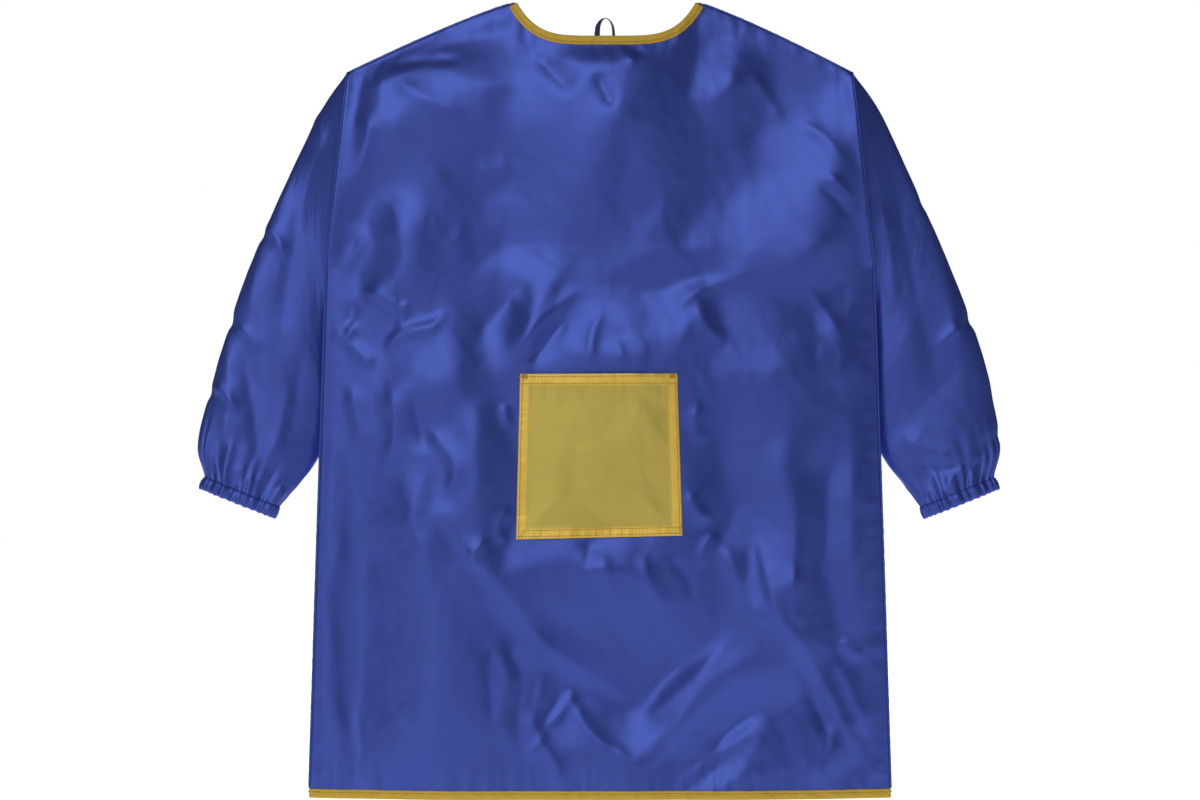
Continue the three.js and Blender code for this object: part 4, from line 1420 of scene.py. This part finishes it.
    def _seam(self, name: str, line: Array, node: str, radius: float) -> None:
        """Makes one seam as a thin cord of folded cloth."""
        fine = Ripple(len(name))
        swell = 1.0 + 0.18 * fine.layered(np.arange(len(line)) / 3.0, np.zeros(len(line)), 2)
        points = tube(line, radius) - line[:, None]
        points = line[:, None] + points * swell[:, None, None]
        along = np.arange(len(line))[:, None] * 2.0 + np.zeros((1, 8))
        flat = np.stack([along, np.arange(8)[None, :] * 0.8 + np.zeros((len(line), 1))], axis=-1)
        piece = skin(name, points, flat, ring=True)
        close_ends(piece)
        fix_on(piece, self.wardrobe.blue_nylon, "blue_thread", "smock_body", node)


# ---------------------------------------------------------------------------------------------
# Pocket
# ---------------------------------------------------------------------------------------------


@dataclass
class Pocket:
    """The square patch pocket: thin cloth, four turned hems, and its stitches."""

    cut: Cut
    wardrobe: Wardrobe
    body: Body
    sewing: StitchRows
    hem: float = 8.5
    top_hem: float = 10.0
    wide: float = 142.0
    tall: float = 144.0
    cloth: float = 0.3

    def __post_init__(self) -> None:
        """Finds the pocket's corners from the frame."""
        low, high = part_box("pocket_panel")
        self.corners = {
            "top_left": (low.x / MM + 3.0, high.z / MM),
            "top_right": (high.x / MM - 5.5, high.z / MM + 0.3),
            "low_left": (low.x / MM - 0.5, low.z / MM - 2.0),
            "low_right": (high.x / MM - 0.8, low.z / MM + 1.4),
        }

    def _place(self, u: Array, v: Array) -> tuple[Array, Array]:
        """Returns x and z at shares across and down the pocket."""
        c = self.corners
        x = (1 - v) * ((1 - u) * c["top_left"][0] + u * c["top_right"][0])
        x = x + v * ((1 - u) * c["low_left"][0] + u * c["low_right"][0])
        z = (1 - v) * ((1 - u) * c["top_left"][1] + u * c["top_right"][1])
        z = z + v * ((1 - u) * c["low_left"][1] + u * c["low_right"][1])
        return x, z

    def _y(self, u: Array, v: Array) -> Array:
        """Returns Y of the pocket's outer face."""
        x, z = self._place(u, v)
        side = np.minimum(u, 1 - u) * self.wide
        bottom, top = (1 - v) * self.tall, v * self.tall
        sewn = np.minimum(side, bottom)
        fine = Ripple(71)
        puff = 3.6 * ease(3.0, 46.0, sewn) * (0.75 + 0.25 * ease(0.0, 60.0, top))
        gape = 1.3 * ease(22.0, 0.0, top) * ease(0.0, 40.0, side)
        swell = 1.1 * fine.layered((x + 0.6 * z) / 38.0, (z - 0.6 * x) / 60.0, 2)
        swell = swell * ease(4.0, 30.0, sewn)
        double = np.minimum(ease(self.hem + 1.0, self.hem - 0.4, side)
                            + ease(self.hem + 1.0, self.hem - 0.4, bottom)
                            + ease(self.top_hem + 1.0, self.top_hem - 0.4, top), 1.0)
        near_side = ease(12.0, 2.0, side) * ease(0.0, 1.5, side)
        near_low = ease(14.0, 2.0, bottom) * ease(0.0, 1.5, bottom)
        near_top = ease(14.0, 2.0, top)
        pucker = 0.45 * fine.layered(z / 5.0, x / 30.0 + 9, 2) * near_side
        pucker = pucker + 0.45 * fine.layered(x / 5.0, z / 30.0 + 50, 2) * near_low
        fan = ease(34.0, 9.0, top) * ease(4.0, 9.0, top)
        pucker = pucker + 0.5 * fine.layered(x / 6.0 + 3, z / 26.0 + 70, 2) * near_top
        pucker = pucker + 0.9 * fine.at(x / 8.5 + 3, z / 50.0 + 90) * fan
        lift = 1.0 + puff + gape + swell + 0.35 * double + pucker
        return self.body.front.y(x, z) - np.maximum(lift, 0.6)

    def make(self) -> None:
        """Builds the pocket and everything sewn on it."""
        count = 96
        u, v = np.meshgrid(np.linspace(0, 1, count), np.linspace(0, 1, count))
        x, z = self._place(u, v)
        piece = skin(
            "pocket_cloth",
            np.stack([x, self._y(u, v), z], axis=-1),
            np.stack([x, z], axis=-1),
            outward=lambda p: np.array([0.0, -1.0, 0.0]),
        )
        double = np.zeros(u.shape)
        for hem, inside in (
            (self.hem, np.minimum(u, 1 - u) * self.wide),
            (self.hem, (1 - v) * self.tall),
            (self.top_hem, v * self.tall),
        ):
            double = np.maximum(double, ease(hem + 0.6, hem - 0.2, inside))
        point_value(piece, "double", double)
        thicken(piece, self.cloth)
        fix_on(piece, self.wardrobe.pocket_nylon, "yellow_nylon", "smock_body", "pocket_panel")
        self._stitches()
        self._tacks()

    def _line(self, u: Array, v: Array) -> Array:
        """Returns a line on the pocket's face."""
        x, z = self._place(u, v)
        return np.stack([x, self._y(u, v) - 0.3, z], axis=-1)

    def _stitches(self) -> None:
        """Sews the sides, the bottom and the double row across the mouth."""
        n = 160
        run, one = np.linspace(0.0, 1.0, n), np.ones(n)
        inset = 2.2 / self.wide
        rows = [
            self._line(one * inset, run * (1 - inset)),
            self._line(inset + run * (1 - 2 * inset), one * (1 - inset)),
            self._line(one * (1 - inset), run * (1 - inset)),
            self._line(inset + run * (1 - 2 * inset), one * (1 - 7.4 / self.tall)),
        ]
        mouth = [self._line(run, one * drop / self.tall) for drop in (2.4, 8.6)]
        thread = self.wardrobe.yellow_thread
        for name, lines, node in (
            ("pocket_stitches", rows, "pocket_thread"),
            ("pocket_mouth_stitches", mouth, "pocket_mouth_thread"),
        ):
            piece = self.sewing.lay(name, lines, thread)
            fix_on(piece, thread, "yellow_thread", "smock_body", node)

    def _tacks(self) -> None:
        """Sews a bar tack at each corner of the mouth."""
        close = StitchRows(pitch=0.55, stitch=1.6, radius=0.15, tree=self.sewing.tree)
        thread = self.wardrobe.yellow_thread
        for hand in Hand:
            middle = 0.03 if hand is Hand.LEFT else 0.97
            lines = []
            for k in range(12):
                u = np.array([middle, middle]) + (k - 6) * 0.45 / self.wide
                lines.append(self._line(u, np.array([1.2, 3.8]) / self.tall))
            piece = close.lay(f"bar_tack_stitches_{hand.word}", lines, thread)
            fix_on(piece, thread, "yellow_thread", "smock_body", f"bar_tack_{hand.word}")


# ---------------------------------------------------------------------------------------------
# Sleeves
# ---------------------------------------------------------------------------------------------

SLEEVE_FOLDS = {
    Hand.LEFT: (
        Fold(((-318, -282), (-308, -340), (-300, -400), (-302, -420)), 8, -3.0, 1.5),
        Fold(((-330, -290), (-326, -350), (-332, -400)), 9, 2.8, 1.4),
        Fold(((-262, -90), (-286, -150), (-302, -230), (-312, -300)), 10, 2.6, 1.5),
        Fold(((-244, -120), (-262, -180), (-276, -250), (-284, -330)), 9, -2.4, 1.4),
        Fold(((-300, -198), (-286, -206), (-276, -226)), 5, 2.4),
        Fold(((-324, -284), (-310, -292), (-300, -310)), 5, 2.4),
        Fold(((-346, -336), (-330, -344), (-318, -362)), 5, 2.2),
        Fold(((-262, -86), (-250, -104), (-244, -130)), 5, 2.0),
        Fold(((-272, -330), (-282, -380), (-300, -416)), 7, 2.2),
        Fold(((-262, -300), (-268, -350), (-280, -400)), 6, -2.0),
        Fold(((-346, -430), (-338, -400), (-334, -370)), 5, -2.0),
        Fold(((-336, -436), (-326, -400), (-322, -380)), 5, 1.8),
        Fold(((-326, -440), (-316, -412)), 4, -1.6),
        Fold(((-314, -446), (-304, -414)), 4, 1.6),
        Fold(((-304, -450), (-290, -418), (-278, -400)), 4, -1.6),
        Fold(((-294, -450), (-278, -424)), 4, 1.6),
    ),
    Hand.RIGHT: (
        Fold(((258, -86), (284, -150), (304, -230), (316, -300), (326, -370)), 11, 2.4, 1.5),
        Fold(((248, -120), (268, -200), (284, -280), (300, -360)), 10, -2.2, 1.4),
        Fold(((322, -286), (308, -292), (296, -306)), 5, 2.2),
        Fold(((342, -376), (336, -410), (344, -432)), 6, -2.6, 1.3),
        Fold(((262, -378), (290, -396), (320, -400)), 6, 2.4, 1.4),
        Fold(((276, -404), (304, -412), (326, -404)), 6, -2.2),
        Fold(((300, -446), (308, -420), (322, -404)), 5, 2.0),
        Fold(((318, -440), (324, -416), (336, -400)), 5, -1.8),
        Fold(((290, -450), (286, -424), (274, -404)), 5, -1.8),
        Fold(((246, -170), (256, -226), (258, -280)), 6, 2.2),
        Fold(((330, -250), (338, -300), (346, -360)), 7, 1.8),
    ),
}


@dataclass
class Sleeve:
    """One sleeve: a flattened tube of cloth gathered into an elastic cuff."""

    cut: Cut
    wardrobe: Wardrobe
    sewing: StitchRows
    hand: Hand
    rows: int = 190
    columns: int = 132
    cloth: float = 0.35
    centre_depth: float = 16.0
    half_depth: float = 14.0
    cuff_outer: tuple[float, float] = (351.0, -429.0)
    cuff_inner: tuple[float, float] = (288.0, -454.0)
    cuff_half_depth: float = 11.0
    cuff_centre_depth: float = 9.0
    casing: float = 11.0
    fullness: float = 1.5

    def __post_init__(self) -> None:
        """Lays out the sleeve's two side creases."""
        outer, inner = np.array(self.cuff_outer), np.array(self.cuff_inner)
        way = (outer - inner) / np.linalg.norm(outer - inner)
        self.down = np.array([way[1], -way[0]])
        self.end_outer = outer - self.down * self.casing
        self.end_inner = inner - self.down * self.casing
        top = np.array([self.cut.shoulder_half + 0.3, -self.cut.shoulder_drop])
        low = np.array([self.cut.underarm_half + 0.2, self.cut.underarm])
        self.outer = spline(
            [top, top + (27, -39), top + (64, -121), top + (102, -213),
             self.end_outer + (5, 42), self.end_outer], self.rows)
        self.inner = spline(
            [low, low + (-0.5, -20), low + (-1.5, -68), low + (-0.5, -120),
             self.end_inner + (-36, 46), self.end_inner], self.rows)

    def flat_cut(self) -> tuple[float, float, float]:
        """Returns the width, the length and the area in metres that the sleeve was cut to.

        The cloth is two layers between the side creases, and fuller towards the gathered cuff.
        """
        down, up = self.outer[1:] - self.inner[:-1], self.inner[1:] - self.outer[:-1]
        patches = np.abs(down[:, 0] * up[:, 1] - down[:, 1] * up[:, 0]) / 2
        gathered = ease(0.5, 1.0, np.linspace(0.0, 1.0, len(patches)))
        area = 2 * np.sum(patches * (1 + (self.fullness - 1) * gathered))
        length = np.sum(np.linalg.norm(np.diff(self.outer, axis=0), axis=1))
        width = 2 * np.linalg.norm(self.outer[0] - self.inner[0])
        return float(width) * MM, float(length) * MM, float(area) * MM * MM

    def _section(self, share: Array) -> tuple[Array, Array]:
        """Returns the depth of the middle and half the thickness along the sleeve."""
        centre = self.centre_depth * np.sin(0.5 * math.pi * np.clip(share / 0.3, 0, 1))
        to_cuff = np.clip((share - 0.7) / 0.3, 0, 1)
        centre = centre + (self.cuff_centre_depth - centre) * to_cuff
        start = self.cut.edge_gap + self.cut.armhole_opening
        half = start + (self.half_depth - start) * np.clip(share / 0.5, 0, 1)
        half = half + (self.cuff_half_depth - half) * np.clip((share - 0.5) / 0.5, 0, 1)
        return centre, half

    def _surface(self) -> tuple[Array, Array]:
        """Returns the creased tube and its flat map."""
        sign = self.hand.value
        share = np.linspace(0.0, 1.0, self.rows)[:, None]
        turn = np.linspace(0.0, 2 * math.pi, self.columns, endpoint=False)[None, :]
        a, b = self.outer[:, None, :], self.inner[:, None, :]
        middle, reach = (a + b) / 2, (a - b) / 2
        width = np.linalg.norm(reach, axis=2)
        centre, half = self._section(share)
        fine = Ripple(51 if self.hand is Hand.LEFT else 57)
        bend = self._pinches(share) * np.maximum(np.cos(turn), 0.0) ** 4
        x = sign * (middle[..., 0] + reach[..., 0] * np.cos(turn))
        z = middle[..., 1] + reach[..., 1] * np.cos(turn)
        y = centre - half * np.sin(turn)
        out_flat = np.cos(turn) / width
        out_deep = np.sin(turn) / half
        size = np.sqrt(out_flat**2 + out_deep**2)
        unit = reach / width[..., None]
        normal = np.stack(
            [
                sign * unit[..., 0] * out_flat / size,
                -out_deep / size,
                unit[..., 1] * out_flat / size,
            ],
            axis=-1,
        )
        facing = np.where(np.sin(turn) >= 0, 1.0, 0.7)
        lift = np.zeros(x.shape)
        for one in SLEEVE_FOLDS[self.hand]:
            lift = lift + one.height_at(x, z) * facing
        around, along = turn / (2 * math.pi) * 14.0, share * 12.0
        lift = lift + 1.2 * self._wrap(fine, around * 0.5, along * 0.4, 7.0)
        lift = lift + 0.25 * self._wrap(fine, around * 2.0, along * 1.6 + 40, 28.0)
        gather = ease(0.80, 1.0, share)
        uneven = 0.65 + 0.6 * self._wrap(fine, around * 1.5, along * 0.3 + 30, 21.0)
        phase = turn * 23 + 2.6 * self._wrap(fine, around, along * 0.4 + 80, 14.0)
        lift = lift + 1.25 * gather * uneven * np.sin(phase)
        lift = lift * ease(0.0, 0.07, share) + 1.0 * ease(0.85, 1.0, share)
        points = np.stack([x, y, z], axis=-1) + normal * lift[..., None]
        points[..., 0] += sign * unit[..., 0] * bend
        points[..., 2] += unit[..., 1] * bend
        flat = np.stack([turn * 42.0 + 0 * share, share * 440.0 + 0 * turn], axis=-1)
        self.normal, self.lift_end = normal, lift[-1]
        return points, flat

    def _pinches(self, share: Array) -> Array:
        """Returns how far the outer crease is pinched in along the sleeve."""
        spots = {
            Hand.LEFT: ((0.42, 2.2), (0.63, 2.6), (0.80, 2.2)),
            Hand.RIGHT: ((0.63, 2.6), (0.34, 1.2), (0.90, 2.2)),
        }[self.hand]
        return -sum(deep * np.exp(-(((share - at) / 0.018) ** 2)) for at, deep in spots)

    @staticmethod
    def _wrap(fine: Ripple, around: Array, along: Array, period: float) -> Array:
        """Returns relief that meets itself where the tube closes."""
        part = ease(0.0, 0.25 * period, around)
        first, second = fine.at(around + 64.0, along), fine.at(around + 64.0 + period, along)
        return first * part + second * (1 - part)

    def make(self) -> None:
        """Builds the sleeve and its cuff."""
        word = self.hand.word
        points, flat = self._surface()
        piece = skin(f"sleeve_cloth_{word}", points, flat, ring=True)
        self._face_out(piece, points)
        thicken(piece, self.cloth)
        dress(piece, self.wardrobe.blue_nylon)
        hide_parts(f"sleeve_{word}")
        side = self.hand.value * MM
        side * 241.0
        side * (241.0 + 80.0)
        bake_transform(piece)
        self._cuff(points)

    @staticmethod
    def _face_out(piece: bpy.types.Object, points: Array) -> None:
        """Turns the tube's faces outwards."""
        centre = points.mean(axis=1)
        first = points[10, 0] - centre[10]
        polygon = piece.data.polygons[10 * points.shape[1]]
        if float(np.dot(first, np.array(polygon.normal))) < 0:
            piece.data.flip_normals()

    def _cuff(self, points: Array) -> None:
        """Builds the casing with its gathers and its row of stitches."""
        word, sign = self.hand.word, self.hand.value
        rim = points[-1]
        down = np.array([sign * self.down[0], 0.0, self.down[1]])
        turn = np.linspace(0.0, 2 * math.pi, self.columns, endpoint=False)
        fine = Ripple(61 if self.hand is Hand.LEFT else 67)
        out = self.normal[-1]
        ruffle = 0.55 * np.sin(turn * 23 + 1.4) + 0.5 * np.sin(turn * 37 + 0.4)
        ruffle = ruffle + 0.5 * fine.at(turn * 6.0, np.zeros(turn.shape))
        profile = (
            (-0.6, -0.5), (-0.4, 0.5), (0.6, 1.0), (1.6, 1.3), (4.0, 1.7), (7.0, 1.7), (9.6, 1.3),
            (10.8, 0.6), (11.0, -0.3), (10.6, -1.1), (9.0, -1.7), (5.5, -1.9), (2.0, -1.7),
            (0.2, -1.3),
        )
        loops, flat = [], []
        for k, (fall, lift) in enumerate(profile):
            sway = ease(0.0, 5.0, fall) * (0.6 if lift < 0 else 1.0)
            edge = rim + down * fall + out * (lift + ruffle * sway * 0.8)[:, None]
            edge = edge + down * (0.4 * np.sin(turn * 29 + 0.3) * ease(6.0, 11.0, fall))[:, None]
            loops.append(edge)
            flat.append(np.stack([turn * 30.0, np.full(turn.shape, 2.4 * k)], axis=-1))
        loops.append(loops[0])
        flat.append(flat[0])
        piece = skin(f"cuff_{word}", np.stack(loops), np.stack(flat), ring=True)
        self._weld(piece)
        body = f"{word}_sleeve"
        fix_on(piece, self.wardrobe.blue_nylon, "blue_nylon", body, f"cuff_casing_{word}")
        row = rim + down * 1.0 + out * (1.5 + 0.3 * ruffle)[:, None]
        row = np.vstack([row, row[:1]])
        thread = self.wardrobe.blue_thread
        fine_rows = StitchRows(pitch=2.6, stitch=2.0, radius=0.24, tree=self.sewing.tree)
        stitches = fine_rows.lay(f"cuff_stitches_{word}", [row], thread)
        fix_on(stitches, thread, "blue_thread", body, f"cuff_thread_{word}")

    @staticmethod
    def _weld(piece: bpy.types.Object) -> None:
        """Joins the doubled loop of points and turns the faces outwards."""
        body = bmesh.new()
        body.from_mesh(piece.data)
        bmesh.ops.remove_doubles(body, verts=body.verts, dist=1e-6)
        bmesh.ops.recalc_face_normals(body, faces=body.faces)
        body.to_mesh(piece.data)
        body.free()


# ---------------------------------------------------------------------------------------------
# Hanging loop and closing patches
# ---------------------------------------------------------------------------------------------


@dataclass
class Loop:
    """The hanging loop: one length of tape that twists at its crown."""

    wardrobe: Wardrobe
    width: float = 5.0
    thickness: float = 0.7
    depth: float = 12.1

    def make(self) -> None:
        """Builds the tape."""
        d = self.depth
        line = spline(
            [(-2.6, d, -31), (-2.4, d, -26), (-1.6, d, -20), (1.2, d, -15.0), (5.0, d, -13.2),
             (8.8, d, -15.4), (11.2, d, -20), (12.0, d, -26), (12.2, d, -31)], 90)
        along = np.gradient(line, axis=0)
        along /= np.linalg.norm(along, axis=1, keepdims=True)
        flat_way = np.cross(along, np.array([0.0, 1.0, 0.0]))
        deep = np.tile(np.array([0.0, 1.0, 0.0]), (len(line), 1))
        share = np.linspace(0.0, 1.0, len(line))
        turns = np.radians([8.0, 35.0, 86.0, 68.0, 60.0])
        twist = np.interp(share, [0, 0.25, 0.5, 0.75, 1.0], turns)
        wide = flat_way * np.cos(twist)[:, None] + deep * np.sin(twist)[:, None]
        thin = np.cross(along, wide)
        w, t = self.width / 2, self.thickness / 2
        outline = [(-w, -t * 0.6), (-w * 0.9, -t), (0, -t * 0.9), (w * 0.9, -t), (w, -t * 0.6),
                   (w, t * 0.6), (w * 0.9, t), (0, t * 0.9), (-w * 0.9, t), (-w, t * 0.6)]
        rows = np.stack([line + wide * a + thin * b for a, b in outline], axis=1)
        gone = share[:, None] * 48.0 + np.zeros((1, len(outline)))
        over = np.array([a for a, _ in outline])[None, :] + np.zeros((len(line), 1))
        piece = skin("loop_tape", rows, np.stack([over, gone], axis=-1), ring=True)
        close_ends(piece)
        fix_on(piece, self.wardrobe.tape, "dark_tape", "loop", "hanging_loop")


# ---------------------------------------------------------------------------------------------
# Studio
# ---------------------------------------------------------------------------------------------


@dataclass
class Studio:
    """Camera, lights, floor and surroundings."""

    middle_z: float = -0.350
    view_width: float = 1.056
    distance: float = 4.5
    floor_z: float = -0.712

    def make(self) -> None:
        """Sets up everything that isn't the smock."""
        self._camera()
        self._light("key", (-0.8, -2.85, 1.5), 3.0, 2.5, 54.0)
        self._light("left", (-1.9, -2.9, -0.2), 0.9, 2.0, 8.0)
        self._light("rear", (0.6, 2.6, 1.2), 2.0, 1.4, 40.0)
        self._floor()
        self._world()

    def _camera(self) -> None:
        """Places the camera straight in front of the smock."""
        data = bpy.data.cameras.new("camera")
        data.sensor_width = 36.0
        data.lens = 36.0 * self.distance / self.view_width
        data.clip_end = 60.0
        camera = bpy.data.objects.new("camera", data)
        camera.location = (0.0, -self.distance, self.middle_z)
        camera.rotation_euler = (math.pi / 2, 0.0, 0.0)
        bpy.context.scene.collection.objects.link(camera)
        bpy.context.scene.camera = camera

    def _light(
        self, name: str, place: tuple[float, float, float], wide: float, tall: float, power: float
    ) -> None:
        """Hangs one soft light that looks at the middle of the smock."""
        data = bpy.data.lights.new(name, "AREA")
        data.shape, data.size, data.size_y, data.energy = "RECTANGLE", wide, tall, power
        lamp = bpy.data.objects.new(name, data)
        lamp.location = place
        way = Vector((0.0, 0.0, self.middle_z)) - Vector(place)
        lamp.rotation_euler = way.to_track_quat("-Z", "Y").to_euler()
        bpy.context.scene.collection.objects.link(lamp)

    def _floor(self) -> None:
        """Lays the pale floor."""
        turn = np.linspace(0, 2 * math.pi, 96, endpoint=False)
        rings = [
            np.stack([r * np.cos(turn), r * np.sin(turn), np.full(96, self.floor_z / MM)], -1)
            for r in (20.0, 1500.0, 9000.0)
        ]
        floor = skin("floor", np.stack(rings), ring=True, outward=lambda p: np.array([0, 0, 1.0]))
        dye = Dye("floor")
        place = dye.value("ShaderNodeTexCoord", "Object")
        grain = dye.value("ShaderNodeTexNoise", 0, inputs={"Vector": place, "Scale": 40.0})
        colour = dye.value(
            "ShaderNodeMix",
            2,
            settings={"data_type": "RGBA"},
            inputs={0: grain, 6: (0.66, 0.66, 0.66, 1.0), 7: (0.70, 0.70, 0.70, 1.0)},
        )
        split = dye.node("ShaderNodeSeparateXYZ", inputs={0: place})
        behind = dye.value(
            "ShaderNodeMapRange",
            0,
            inputs={0: Value(dye.tree, split.outputs[1]), 1: -1.0, 2: 0.15, 3: 0.0, 4: 1.0},
        )
        away = dye.value(
            "ShaderNodeVectorMath", 1, settings={"operation": "LENGTH"}, inputs={0: place}
        )
        far = dye.value(
            "ShaderNodeMapRange", 0, inputs={0: away, 1: 2.2, 2: 4.2, 3: 0.0, 4: 1.0}
        )
        glow = dye.value(
            "ShaderNodeMix",
            2,
            settings={"data_type": "RGBA"},
            inputs={0: behind + far, 6: (0.12, 0.12, 0.12, 1.0), 7: (0.95, 0.95, 0.95, 1.0)},
        )
        surface = dye.value(
            "ShaderNodeBsdfPrincipled",
            0,
            inputs={
                "Base Color": colour,
                "Roughness": 0.9,
                "Emission Color": glow,
                "Emission Strength": 1.0,
            },
        )
        dye.node("ShaderNodeOutputMaterial", inputs={"Surface": surface})
        floor.data.materials.append(dye.material)

    def _world(self) -> None:
        """Paints the surroundings white where they are seen, and dimmer as a light."""
        world = bpy.data.worlds.new("surroundings")
        world.use_nodes = True
        tree = world.node_tree
        tree.nodes.clear()
        seen, light = tree.nodes.new("ShaderNodeBackground"), tree.nodes.new("ShaderNodeBackground")
        seen.inputs[0].default_value, seen.inputs[1].default_value = (1, 1, 1, 1), 1.0
        light.inputs[0].default_value, light.inputs[1].default_value = (1, 1, 1, 1), 0.07
        path, mix = tree.nodes.new("ShaderNodeLightPath"), tree.nodes.new("ShaderNodeMixShader")
        output = tree.nodes.new("ShaderNodeOutputWorld")
        tree.links.new(path.outputs["Is Camera Ray"], mix.inputs[0])
        tree.links.new(light.outputs[0], mix.inputs[1])
        tree.links.new(seen.outputs[0], mix.inputs[2])
        tree.links.new(mix.outputs[0], output.inputs[0])
        bpy.context.scene.world = world
        bpy.context.scene.view_settings.view_transform = "Standard"


# ---------------------------------------------------------------------------------------------


def panel_area(cut: Cut, low: float, high: float) -> float:
    """Returns the flat area in square metres of a panel cut between two places across.

    Args:
        cut: The outline.
        low: The lower x of the panel, or minus infinity for the side seam.
        high: The upper x of the panel, or infinity for the side seam.
    """
    x, z = np.meshgrid(np.linspace(-260.0, 260.0, 521), np.linspace(-700.0, 0.0, 701))
    inside = (np.abs(x) <= cut.half_width(z)) & (z <= cut.top_edge(x)) & (z >= cut.hem_cut)
    return float(np.sum(inside & (x >= low) & (x <= high))) * MM * MM


def declare_sheets(cut: Cut, sleeves: dict[Hand, Sleeve]) -> None:
    """Works out the flat areas of the body's panels and the cut sizes of the sleeves; the results
    are not used.

    Args:
        cut: The outline of the body.
        sleeves: Both sleeves.
    """
    panel_area(cut, -math.inf, math.inf)
    for hand in Hand:
        word, sign = hand.word, hand.value
        ends = sorted((-sign * cut.flap_overlap, sign * math.inf))
        panel_area(cut, *ends)
        width, length, area = sleeves[hand].flat_cut()


def main() -> None:
    """Builds the smock around its frame."""
    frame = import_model()
    Studio().make()
    cut = Cut()
    wardrobe = Wardrobe()
    sewing = StitchRows()
    body = Body(cut, wardrobe)
    body.make_front()
    for hand in Hand:
        body.make_back(hand)
    Trim(cut, wardrobe, body, sewing).make()
    Pocket(cut, wardrobe, body, sewing).make()
    sleeves = {hand: Sleeve(cut, wardrobe, sewing, hand) for hand in Hand}
    for sleeve in sleeves.values():
        sleeve.make()
    Loop(wardrobe).make()
    shown = {f"cuff_elastic_{hand.word}": wardrobe.elastic for hand in Hand}
    shown |= {node: wardrobe.patch for node in ("hook_patch", "loop_patch")}
    for node, material in shown.items():
        frame["nodes"][node].data.materials.clear()
        frame["nodes"][node].data.materials.append(material)
    declare_sheets(cut, sleeves)


if __name__ == "__main__":
    logging.basicConfig(level=logging.INFO, format="%(message)s")
    main()
